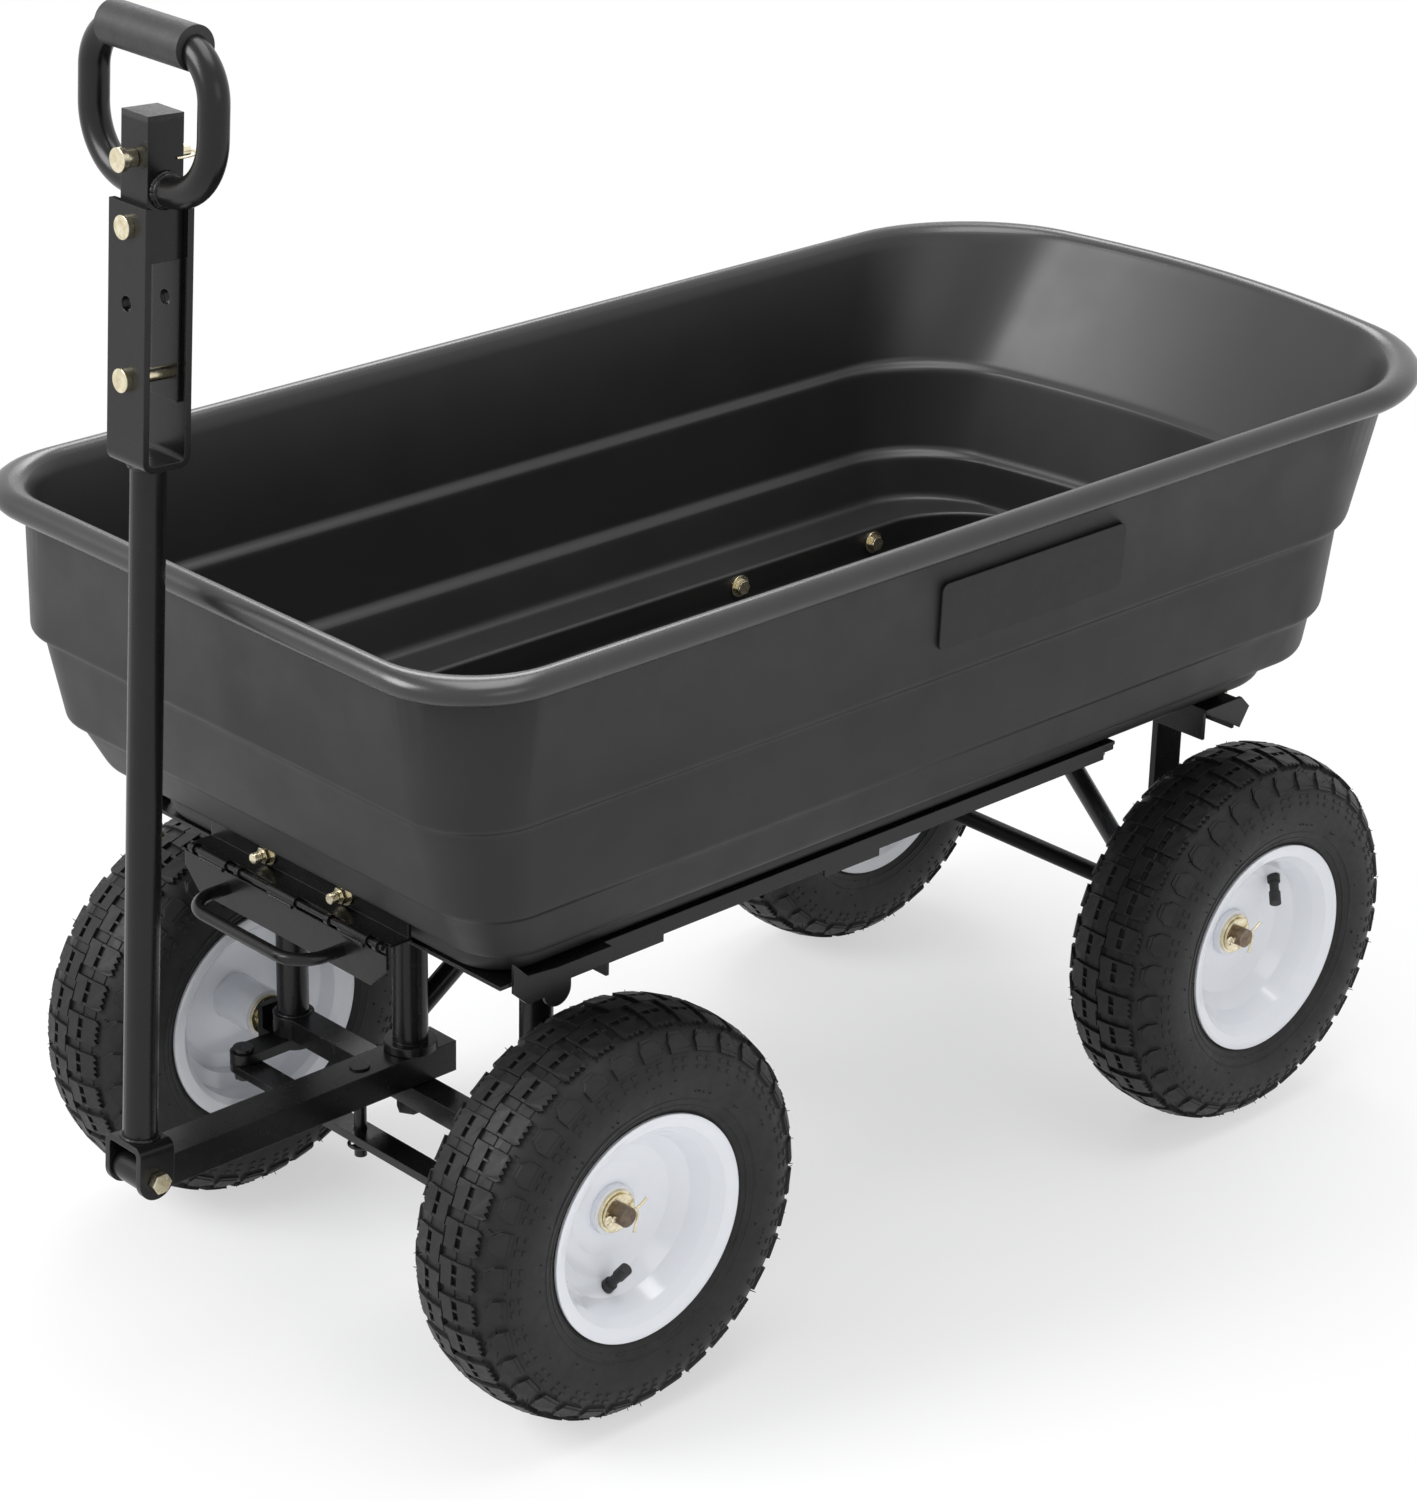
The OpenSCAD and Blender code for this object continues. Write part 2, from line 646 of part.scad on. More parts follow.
// side rails, cross bars and their bolts
rail_bolt_y = rail_y - rail_leg / 2;
rail_bolt_xs = [middle_bar_x, rail_bolt_x];
module rail_bolt_holes() for (x = rail_bolt_xs) both()
  bar_z(x, rail_bolt_y, bar_under - cut, frame_top + cut, rail_bolt_d);
module side_rail() {
  span_box([rail_rear, rail_y - rail_leg, web_under], [bolster_rear, rail_y, frame_top]);
  span_box([rail_rear + rail_drop, rail_y - sheet_t, frame_top - rail_drop],
    [bolster_rear, rail_y, frame_top]);
  for (x = [middle_bar_x, bolster_rear - rail_tab_l / 2])
    span_box([x - rail_tab_l / 2, rail_y - sheet_t, frame_top - rail_drop - rail_tab_drop],
      [x + rail_tab_l / 2, rail_y, frame_top]);
}
module side_rails() piece(coat_black) difference() {
  both() side_rail();
  rail_bolt_holes();
}
bar_half_y = rail_y - sheet_t;
module cross_bars() piece(coat_black) difference() {
  for (x = [front_bar_x, middle_bar_x, rear_bar_x]) span_box([x - bar_w / 2, -bar_half_y, bar_under],
    [x + bar_w / 2, bar_half_y, web_under]);
  rail_bolt_holes();
}
module rail_bolts() piece(zinc_yellow) for (x = rail_bolt_xs) both() {
  bar_z(x, rail_bolt_y, bar_under, frame_top, rail_bolt_d);
  translate([x, rail_bolt_y, bar_under - rail_bolt_d * head_share])
    cylinder(d = rail_bolt_d * hex_share, h = rail_bolt_d * head_share, $fn = 6);
}

// rear frame
saddle_top = web_under;
stringer_front = rear_bar_x + bar_w / 2;
module rear_stringers() piece(coat_black) both() span_box([saddle_front, stringer_y - stringer_w / 2,
  bar_under - bar_t],
  [stringer_front, stringer_y + stringer_w / 2, bar_under]);
module rear_braces() piece(coat_black) both() difference() {
  strut([rear_x + rear_post_foot / 2, rear_brace_y, axle_z + rear_post_foot],
    [rear_bar_x, rear_brace_y, bar_under + brace_d / 2], brace_d);
  span_box([rear_bar_x - rear_post_w, rear_brace_y - rear_post_w, bar_under],
    [rear_bar_x + rear_post_w, rear_brace_y + rear_post_w, bar_under + rear_post_w]);
}
module rear_post() difference() {
  union() {
    span_box([rear_x - rear_post_w / 2, rear_post_y - rear_post_t / 2, axle_z],
      [rear_x + rear_post_w / 2, rear_post_y + rear_post_t / 2, saddle_top - sheet_t]);
    bar_y(rear_x, rear_post_y - rear_post_t / 2, rear_post_y + rear_post_t / 2, axle_z, rear_post_w);
  }
  bar_y(rear_x, rear_post_y - rear_post_w, rear_post_y + rear_post_w, axle_z, axle_d);
}
module rear_posts() piece(coat_black) both() rear_post();
ear_ys = [strap_y - strap_w / 2 - ear_gap - ear_t, strap_y + strap_w / 2 + ear_gap];
tip_half_y = ear_ys[1] + 2 * ear_t;
saddle_wing_past = 4;
saddle_wing_x = saddle_rear - saddle_wing_past;
module saddle_wing() {
  polygon([[saddle_front, saddle_top], [saddle_front, saddle_top - sheet_t],
    [saddle_wing_x, saddle_top - saddle_drop],
    [saddle_wing_x - eye_r, saddle_top - eye_r], [saddle_wing_x, saddle_top]]);
}
module rear_saddle() piece(coat_black) difference() {
  union() {
    channel(saddle_rear, saddle_front, saddle_half_y, saddle_top, saddle_drop);
    both() end_plate(saddle_half_y) saddle_wing();
    both() for (y = ear_ys) {
      bar_y(tip_x, y, y + ear_t, tip_z, 2 * eye_r);
      span_box([tip_x, y, tip_z - eye_r], [saddle_rear + weld_bite, y + ear_t, tip_z + eye_r]);
    }
  }
  bar_y(tip_x, -tip_half_y - cut, tip_half_y + cut, tip_z, tip_d);
}
module tip_pin() piece(zinc_yellow) {
  bar_y(tip_x, -tip_half_y, tip_half_y, tip_z, tip_d);
  both() translate([tip_x, tip_half_y - ear_t / 2, tip_z - tip_d]) cylinder(d = split_d, h = 2 * tip_d);
}
module rear_axle() piece(axle_brown) difference() {
  bar_y(rear_x, -stub_tip, stub_tip, axle_z, axle_d);
  both() split_pin(rear_x);
}

// washer, split pin and inner spacer of one wheel, on the left
washer_in = wheel_y + hub_out + bush_flange_t + side_gap;
bush_in = wheel_y - hub_in - bush_flange_t - side_gap;
spacer_d = 24;
module tube_y(x, y0, y1, z, d, bore) difference() {
  bar_y(x, y0, y1, z, d);
  bar_y(x, y0 - cut, y1 + cut, z, bore);
}
module split_pin(x) bar_x(x - split_l / 2, x + split_l / 2, washer_in + washer_t + split_d, axle_z,
  split_d);
module wheel_stops(x, spacer_from) {
  tube_y(x, washer_in, washer_in + washer_t, axle_z, washer_d, axle_d);
  split_pin(x);
  tube_y(x, spacer_from, bush_in, axle_z, spacer_d, axle_d);
}
module rear_axle_stops() piece(zinc_yellow) both() wheel_stops(rear_x, rear_post_y + rear_post_t / 2);
back_plate_y = post_y + back_plate_in;
stub_from = back_plate_y + back_plate_t;
module stub_stops_left() piece(zinc_yellow) wheel_stops(front_x, stub_from);
module stub_stops_right() piece(zinc_yellow) mirror([0, 1, 0]) wheel_stops(front_x, stub_from);

// steering knuckle with king pin, stub axle and arm, on the left
module knuckle() difference() {
  union() {
    bar_z(front_x, post_y, foot_z, foot_top, foot_d);
    span_box([front_x - back_plate_half_x, post_y, foot_z], [front_x + back_plate_half_x, stub_from,
      foot_top]);
    span_box([front_x, post_y - arm_w / 2, foot_z], [front_x + arm_reach, post_y + arm_w / 2, foot_top]);
    bar_z(front_x + arm_reach, post_y, foot_z, foot_top, arm_w);
    span_box([front_x - back_plate_half_x, back_plate_y, back_plate_low],
      [front_x + back_plate_half_x, stub_from, back_plate_top]);
    bar_y(front_x, back_plate_y, stub_tip, axle_z, axle_d);
    bar_z(front_x, post_y, foot_z, kingpin_top, kingpin_d);
  }
  bar_z(front_x + arm_reach, post_y, foot_z - cut, foot_top + cut, tie_bolt_d + 2 * run_fit);
  split_pin(front_x);
}
module knuckle_left() piece(coat_black) knuckle();
module knuckle_right() piece(coat_black) mirror([0, 1, 0]) knuckle();

// tie rod, its bolts and the pin through the tongue
tie_x = front_x + arm_reach;
module tie_rod() piece(coat_black) difference() {
  union() {
    span_box([tie_x - arm_w / 2, -post_y, tie_z], [tie_x + arm_w / 2, post_y, tie_z + tie_t]);
    both() bar_z(tie_x, post_y, tie_z, tie_z + tie_t, arm_w);
  }
  both() bar_z(tie_x, post_y, tie_z - cut, tie_z + tie_t + cut, tie_bolt_d);
  bar_z(tie_x, 0, tie_z - cut, tie_z + tie_t + cut, tie_bolt_d + 2 * run_fit);
}
tie_head_z = foot_top + free_gap;
tie_end = 2;
module tie_bolts() piece(zinc_yellow) both() {
  bar_z(tie_x, post_y, tie_z - tie_nut_h - tie_end, tie_head_z + tie_head_h, tie_bolt_d);
  bar_z(tie_x, post_y, tie_head_z, tie_head_z + tie_head_h, tie_bolt_d * hex_share);
  translate([tie_x, post_y, tie_z - tie_nut_h]) cylinder(d = tie_bolt_d * hex_share, h = tie_nut_h,
    $fn = 6);
}

// tongue: rectangular tube with closed ends and cross sleeves
tongue_wall = 3;
tongue_behind = 33;
tongue_rear = front_x - tongue_behind;
sleeve_over = 10;
pivot_d = 10;
tube_end = pivot_x - tongue_h / 2 - tongue_wall;
module tongue_box(inset, front) span_box([tongue_rear + inset, inset - tongue_w / 2, tongue_z + inset],
  [front, tongue_w / 2 - inset, tongue_top - inset]);
module tongue() piece(coat_black) difference() {
  union() {
    difference() {
      tongue_box(0, pivot_x);
      tongue_box(tongue_wall, tube_end);
    }
    bar_z(front_x, 0, tongue_z + tongue_wall / 2, tongue_top - tongue_wall / 2, king_d + sleeve_over);
    bar_z(tie_x, 0, tongue_z + tongue_wall / 2, tongue_top - tongue_wall / 2, tie_bolt_d + sleeve_over);
    bar_y(pivot_x, -tongue_w / 2, tongue_w / 2, pivot_z, tongue_h);
  }
  bar_z(front_x, 0, tongue_z - cut, tongue_top + cut, king_d + 2 * run_fit);
  bar_z(tie_x, 0, tongue_z - cut, tongue_top + cut, tie_bolt_d);
  bar_y(pivot_x, -tongue_w, tongue_w, pivot_z, pivot_d);
}
tie_pin_head = 1.5;
tie_pin_head_d = 16;
clip_r = 9;
clip_d = 3;
clip_under = 6;
clip_z = tie_z - clip_under;
module tie_pin() piece(zinc_yellow) {
  bar_z(tie_x, 0, tie_pin_tip, tongue_top, tie_bolt_d);
  bar_z(tie_x, 0, tongue_top, tongue_top + tie_pin_head, tie_pin_head_d);
  translate([tie_x, 0, clip_z]) rotate_extrude() translate([clip_r, 0]) circle(d = clip_d);
  bar_x(tie_x - clip_r, tie_x + clip_r, 0, clip_z, clip_d);
}
ear_out = tongue_w / 2 + bracket_ear_gap + bracket_ear_t;
pivot_head_y = ear_out + free_gap;
module pivot_bolt() piece(zinc_yellow) {
  bar_y(pivot_x, -pivot_head_y - pivot_d, pivot_head_y, pivot_z, pivot_d);
  translate([pivot_x, pivot_head_y, pivot_z]) rotate([-90, 0, 0])
    cylinder(d = pivot_d * hex_share, h = pivot_d * head_share, $fn = 6);
  translate([pivot_x, -pivot_head_y, pivot_z]) rotate([90, 0, 0])
    cylinder(d = pivot_d * hex_share, h = pivot_d * head_share, $fn = 6);
}

// handle, built upright on its pivot and leaned back as one
module on_handle() translate([pivot_x, 0, pivot_z]) rotate(lean) children();
web_top = bracket_web_z + bracket_ear_t;
// flat shape of a bent strap's outside or inside: half width, foot, top and corner radius
module arch(half, low, high, r) {
  translate([-half, low]) square([2 * half, high - low - r]);
  translate([r - half, low]) square([2 * (half - r), high - low]);
  for (s = [-1, 1]) translate([s * (half - r), high - r]) circle(r);
}
strap_bend_r = 8;
module handle_bracket() piece(coat_black) on_handle() difference() {
  union() {
    both() bar_y(0, ear_out - bracket_ear_t, ear_out, 0, bracket_w);
    translate([-bracket_w / 2, 0, 0]) rotate([90, 0, 90]) linear_extrude(bracket_w) difference() {
      arch(ear_out, 0, web_top, strap_bend_r);
      arch(ear_out - bracket_ear_t, -cut, bracket_web_z, strap_bend_r - bracket_ear_t);
    }
  }
  bar_y(0, -tongue_w, tongue_w, 0, pivot_d + 2 * run_fit);
}
module handle_tube() piece(coat_black) on_handle() difference() {
  bar_z(0, 0, web_top, clevis_z, handle_d);
  bar_z(0, 0, web_top + handle_wall, clevis_z - handle_wall, handle_d - 2 * handle_wall);
}
clevis_out = clevis_in + clevis_t;
clevis_bend_r = 9;
module clevis_bores(d) for (u = [pin_up, lock_up]) bar_x(-clevis_out - cut, clevis_out + cut, 0,
  clevis_z + u, d);
module tow_bore() bar_x(-clevis_out - cut, clevis_out + cut, 0, clevis_z + hole_up, clevis_hole_d);
module handle_clevis() piece(coat_black) on_handle() difference() {
  translate([0, clevis_w / 2, clevis_z + clevis_h]) rotate([-90, 0, 180])
    linear_extrude(clevis_w) difference() {
      arch(clevis_out, 0, clevis_h, clevis_bend_r);
      arch(clevis_in, -cut, clevis_h - clevis_t, clevis_bend_r - clevis_t);
    }
  clevis_bores(clevis_bolt_d);
  tow_bore();
}
module grip_column() piece(coat_black) on_handle() difference() {
  span_box([-column_w / 2, -column_w / 2, clevis_z + column_foot],
    [column_w / 2, column_w / 2, clevis_z + column_top]);
  span_box([column_wall - column_w / 2, column_wall - column_w / 2, clevis_z + column_foot - cut],
    [column_w / 2 - column_wall, column_w / 2 - column_wall, clevis_z + column_top + cut]);
  span_box([column_wall - column_w / 2, -column_w, clevis_z + column_foot - cut],
    [column_w / 2 - column_wall, column_w, clevis_z + column_window_top]);
  clevis_bores(clevis_bolt_d);
  tow_bore();
  bar_x(-column_w, column_w, 0, clevis_z + hitch_up, hitch_d + 2 * run_fit);
}
module clevis_bolts() piece(zinc_yellow) on_handle() for (u = [pin_up, lock_up]) {
  bar_x(-clevis_out - clevis_bolt_d, clevis_out, 0, clevis_z + u, clevis_bolt_d);
  bar_x(clevis_out, clevis_out + dome_h, 0, clevis_z + u, dome_d);
  translate([-clevis_out, 0, clevis_z + u]) rotate([0, -90, 0])
    cylinder(d = clevis_bolt_d * hex_share, h = clevis_bolt_d * head_share, $fn = 6);
}
column_in = column_w / 2 - column_wall;
module column_cap() piece(rubber_black) on_handle() {
  span_box([-column_w / 2, -column_w / 2, clevis_z + column_top],
    [column_w / 2, column_w / 2, clevis_z + column_top + cap_h]);
  span_box([-column_in, -column_in, clevis_z + column_top - cap_plug],
    [column_in, column_in, clevis_z + column_top]);
}
ring_half = ring_w / 2;
ring_top_in = ring_half - ring_top_r;
ring_low_in = ring_half - ring_low_r;
sleeve_half = ring_half - sleeve_end;
module ring_bend(y, z, r, turn) translate([0, y, clevis_z + z]) rotate([90, 0, 90]) rotate([0, 0, turn])
  rotate_extrude(angle = quarter_angle) translate([r, 0]) circle(d = ring_d);
module ring_top() {
  both() ring_bend(ring_top_in, ring_high - ring_top_r, ring_top_r, 0);
  bar_y(0, -ring_top_in, ring_top_in, clevis_z + ring_high, ring_d);
}
module grip_ring() piece(coat_black) on_handle() {
  both() {
    bar_y(0, column_w / 2, ring_low_in, clevis_z + ring_low, ring_d);
    ring_bend(ring_low_in, ring_low + ring_low_r, ring_low_r, -quarter_angle);
    bar_z(0, ring_half, clevis_z + ring_low + ring_low_r, clevis_z + ring_high - ring_top_r, ring_d);
  }
  ring_top();
}
module grip_sleeve() piece(rubber_black) on_handle() difference() {
  bar_y(0, -sleeve_half, sleeve_half, clevis_z + ring_high, sleeve_d);
  ring_top();
}
hitch_collar_d = 13;
hitch_collar_l = 9;
hitch_head_x = column_w / 2 + side_gap + hitch_collar_l;
module hitch_pin() piece(zinc_yellow) on_handle() {
  bar_x(-column_w / 2 - hitch_tip, hitch_head_x, 0, clevis_z + hitch_up, hitch_d);
  bar_x(column_w / 2 + side_gap, hitch_head_x, 0, clevis_z + hitch_up, hitch_collar_d);
  bar_x(hitch_head_x, hitch_head_x + dome_h, 0, clevis_z + hitch_up, dome_d);
}

// wheel parts, axis along Z with the outboard side up
rim_r = rim_d / 2;
rim_half = rim_w / 2;
tyre_r = tyre_d / 2;
tyre_half = tyre_w / 2;
tyre_rise = tyre_r - rim_r;
module at_wheel(x, s) translate([x, s * wheel_y, axle_z]) rotate([-90 * s, 0, 0]) children();
// radius and width shares of the rim flange that the tyre bead sits on
bead_shares = [[0.859, 0.826], [0.913, 0.913], [1, 0.946]];
// share of the way from the rim to the tread and width share of the tyre wall and crown
tyre_shares = [[0.055, 0.885], [0.151, 0.946], [0.301, 0.992], [0.466, 1], [0.637, 0.969], [0.788, 0.869],
  [0.893, 0.708], [0.962, 0.481], [0.993, 0.231], [1, 0.08]];
lining_shares = [[0.897, 0.154], [0.856, 0.404], [0.774, 0.615], [0.644, 0.765], [0.466, 0.837],
  [0.288, 0.827], [0.123, 0.769]];
bead_inner_share = [0.859, 0.64];
function half_tyre() = concat([for (s = bead_shares) [s[0] * rim_r, s[1] * rim_half]],
  [for (s = tyre_shares) [rim_r + s[0] * tyre_rise, s[1] * tyre_half]]);
function half_lining() = concat([for (s = lining_shares) [rim_r + s[0] * tyre_rise, s[1] * tyre_half]],
  [[bead_inner_share[0] * rim_r, bead_inner_share[1] * rim_half]]);
function flipped(v) = [for (i = [len(v) - 1:-1:0]) [v[i][0], -v[i][1]]];
module tyre() rotate_extrude() polygon(concat(half_tyre(), flipped(half_tyre()),
  flipped(half_lining()), half_lining()));
// radius and width shares of the rim barrel on the tyre side, outboard to the middle
barrel_shares = [[1, 1], [1, 0.946], [0.913, 0.913], [0.859, 0.826], [0.837, 0.478], [0.717, 0.304]];
barrel_back_shares = [[0.963, -1], [0.88, -0.967], [0.826, -0.87], [0.804, -0.52], [0.685, -0.337],
  [0.685, -0.09],
  [0.565, 0.02], [0.413, -0.02]];
bowl_shares = [[0.413, 0.087], [0.587, 0.196], [0.717, 0.435], [0.804, 0.739], [0.88, 0.935], [0.963, 1]];
hub_r = 20;
web_back_share = -0.04;
web_front_share = 0.065;
function scaled(v) = [for (s = v) [s[0] * rim_r, s[1] * rim_half]];
module rim_turned() rotate_extrude() polygon(concat(scaled(barrel_shares), flipped(scaled(barrel_shares)),
  scaled(barrel_back_shares), [[hub_r, rim_half * web_back_share], [hub_r, -hub_in],
    [hub_bore_d / 2, -hub_in],
  [hub_bore_d / 2, hub_out], [hub_r, hub_out], [hub_r, rim_half * web_front_share]],
    scaled(bowl_shares)));
// the valve seats in the bowl and leans out from it
valve_seat_shares = [0.652, 0.304];
valve_lean_angle = 37;
valve_d = 11;
valve_neck_d = 8;
valve_cap_d = 10;
valve_root = 10;
valve_bulb = 6;
valve_neck = 16;
valve_tip = 27;
module valve_line(a) rotate([0, 0, a])
  translate([valve_seat_shares[0] * rim_r, 0, valve_seat_shares[1] * rim_half])
  rotate([0, valve_lean_angle, 0]) children();
module rim(a) difference() {
  rim_turned();
  valve_line(a) bar_x(-valve_bulb, valve_root + cut, 0, 0, valve_d);
}
module valve(a) valve_line(a) {
  bar_x(-valve_bulb, valve_root, 0, 0, valve_d);
  bar_x(-valve_neck, -valve_bulb, 0, 0, valve_neck_d);
  bar_x(-valve_tip, -valve_neck, 0, 0, valve_cap_d);
}
bush_l = 20;
module bush(z0, z1, flange_z) difference() {
  union() {
    bar_z(0, 0, z0, z1, hub_bore_d);
    bar_z(0, 0, flange_z, flange_z + bush_flange_t, bush_flange_d);
  }
  bar_z(0, 0, -hub_in - 2 * bush_flange_t, hub_in, axle_d + 2 * run_fit);
}
module bushes() {
  bush(hub_out - bush_l, hub_out, hub_out);
  bush(-hub_in, bush_l - hub_in, -hub_in - bush_flange_t);
}
// angle of each valve round its wheel, as the wheels stand
valve_turn = [78, 160, 226, 92];
module tyre_fl() piece(rubber_black) at_wheel(front_x, 1) tyre();
module rim_fl() piece(rim_white) at_wheel(front_x, 1) rim(valve_turn[0]);
module valve_fl() piece(rubber_black) at_wheel(front_x, 1) valve(valve_turn[0]);
module bushes_fl() piece(zinc_yellow) at_wheel(front_x, 1) bushes();
module tyre_fr() piece(rubber_black) at_wheel(front_x, -1) tyre();
module rim_fr() piece(rim_white) at_wheel(front_x, -1) rim(valve_turn[1]);
module valve_fr() piece(rubber_black) at_wheel(front_x, -1) valve(valve_turn[1]);
module bushes_fr() piece(zinc_yellow) at_wheel(front_x, -1) bushes();
module tyre_rl() piece(rubber_black) at_wheel(rear_x, 1) tyre();
module rim_rl() piece(rim_white) at_wheel(rear_x, 1) rim(valve_turn[2]);
module valve_rl() piece(rubber_black) at_wheel(rear_x, 1) valve(valve_turn[2]);
module bushes_rl() piece(zinc_yellow) at_wheel(rear_x, 1) bushes();
module tyre_rr() piece(rubber_black) at_wheel(rear_x, -1) tyre();
module rim_rr() piece(rim_white) at_wheel(rear_x, -1) rim(valve_turn[3]);
module valve_rr() piece(rubber_black) at_wheel(rear_x, -1) valve(valve_turn[3]);
module bushes_rr() piece(zinc_yellow) at_wheel(rear_x, -1) bushes();

tub();
label_plates();
floor_bolts();
hinge_straps();
front_bracket();
bracket_bolts();
latch_rod();
latch_plate();
latch_loop();
front_bolster();
front_posts();
centre_post();
king_bolt();
front_beam();
centre_brace();
side_rails();
cross_bars();
rail_bolts();
rear_stringers();
rear_braces();
rear_posts();
rear_saddle();
tip_pin();
rear_axle();
rear_axle_stops();
knuckle_left();
knuckle_right();
stub_stops_left();
stub_stops_right();
tie_rod();
tie_bolts();
tongue();
tie_pin();
pivot_bolt();
handle_bracket();
handle_tube();
handle_clevis();
clevis_bolts();
grip_column();
column_cap();
grip_ring();
grip_sleeve();
hitch_pin();
tyre_fl();
rim_fl();
valve_fl();
bushes_fl();
tyre_fr();
rim_fr();
valve_fr();
bushes_fr();
tyre_rl();
rim_rl();
valve_rl();
bushes_rl();
tyre_rr();
rim_rr();
valve_rr();
bushes_rr();
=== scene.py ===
import json
import math
import random

import bmesh
import bpy
from mathutils import Matrix, Vector

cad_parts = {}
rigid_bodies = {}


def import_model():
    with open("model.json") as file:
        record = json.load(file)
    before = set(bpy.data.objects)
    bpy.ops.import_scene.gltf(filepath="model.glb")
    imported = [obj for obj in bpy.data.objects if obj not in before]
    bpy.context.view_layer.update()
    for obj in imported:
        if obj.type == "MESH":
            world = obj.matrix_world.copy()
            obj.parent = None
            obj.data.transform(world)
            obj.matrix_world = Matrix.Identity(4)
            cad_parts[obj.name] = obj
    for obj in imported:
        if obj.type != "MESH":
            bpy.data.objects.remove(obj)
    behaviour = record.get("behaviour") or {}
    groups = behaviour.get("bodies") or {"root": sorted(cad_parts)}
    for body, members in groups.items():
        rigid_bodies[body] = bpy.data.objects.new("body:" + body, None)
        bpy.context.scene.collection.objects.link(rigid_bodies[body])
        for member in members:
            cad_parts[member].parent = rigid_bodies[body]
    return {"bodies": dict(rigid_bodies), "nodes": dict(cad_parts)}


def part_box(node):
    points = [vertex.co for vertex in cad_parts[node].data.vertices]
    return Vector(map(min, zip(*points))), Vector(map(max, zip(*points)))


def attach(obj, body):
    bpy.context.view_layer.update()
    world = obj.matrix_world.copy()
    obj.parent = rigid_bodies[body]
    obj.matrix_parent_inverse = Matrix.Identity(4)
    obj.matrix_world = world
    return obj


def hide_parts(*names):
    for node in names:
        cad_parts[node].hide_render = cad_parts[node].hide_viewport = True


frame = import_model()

MM = 0.001
scene = bpy.context.scene
nodes = frame["nodes"]
kept = set(nodes.values()) | set(frame["bodies"].values())
for extra in [o for o in bpy.data.objects if o not in kept]:
    bpy.data.objects.remove(extra)
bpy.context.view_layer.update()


# places taken from the frame
def middle(node):
    """The middle of a node's box."""
    low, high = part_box(node)
    return (low + high) / 2


WHEELS = ("fl", "fr", "rl", "rr")
SIDES = ((1, "left"), (-1, "right"))
X, Y, Z = Vector((1, 0, 0)), Vector((0, 1, 0)), Vector((0, 0, 1))
wheel = {w: middle("tyre_" + w) for w in WHEELS}
axle_mid_x = (wheel["fl"].x + wheel["rl"].x) / 2


def at(x, y, z):
    """A point given in millimetres from the middle of the wheel base."""
    return Vector((x * MM + axle_mid_x, y * MM, z * MM))


# materials
NOISE_ROUGHNESS = 0.55
MOTTLE_DETAIL, PATCH_DETAIL, GRAIN_DETAIL, WAVE_DETAIL = 5, 4, 2, 1
MOTTLE_STOPS = (0.33, 0.67)
# patches of gloss are this many times finer than the mottling
PATCH_FINER = 3.1
PATCH_FROM, PATCH_TO = 0.3, 0.7
COAT_ROUGHNESS = 0.06
EDGE_SAMPLES = 4
# cosine between the true and the rounded normal where the lighter edge tone (wear, and on the black coat a
# painted edge highlight) begins and where it is full
EDGE_TONE_FROM, EDGE_TONE_FULL = 0.97, 0.75


def feed(tree, socket, value):
    """Sets a socket to a value, or links it to another node's output."""
    if isinstance(value, bpy.types.NodeSocket):
        tree.links.new(value, socket)
    else:
        socket.default_value = value


def shader_node(tree, kind, **inputs):
    """A new shader node; each input is a value or another node's output."""
    made = tree.nodes.new("ShaderNode" + kind)
    for name, value in inputs.items():
        feed(tree, made.inputs[name.replace("_", " ")], value)
    return made


def math_node(tree, operation, *values):
    """The result of a sum on values or other nodes' outputs."""
    made = tree.nodes.new("ShaderNodeMath")
    made.operation = operation
    for socket, value in zip(made.inputs, values):
        feed(tree, socket, value)
    return made.outputs["Value"]


def vector_math(tree, operation, *outputs):
    """The number that a sum on other nodes' vectors gives."""
    made = tree.nodes.new("ShaderNodeVectorMath")
    made.operation = operation
    for socket, output in zip(made.inputs, outputs):
        tree.links.new(output, socket)
    return made.outputs["Value"]


def noise(tree, where, scale, detail):
    made = shader_node(tree, "TexNoise", Vector=where, Scale=scale, Detail=detail, Roughness=NOISE_ROUGHNESS)
    return made.outputs["Fac"]


def mixed(tree, factor, colour, tone):
    """A node's colour with a plain tone mixed in by a factor."""
    made = tree.nodes.new("ShaderNodeMix")
    made.data_type = "RGBA"
    tree.links.new(factor, made.inputs["Factor"])
    tree.links.new(colour, made.inputs["A"])
    made.inputs["B"].default_value = (*tone, 1)
    return made.outputs["Result"]


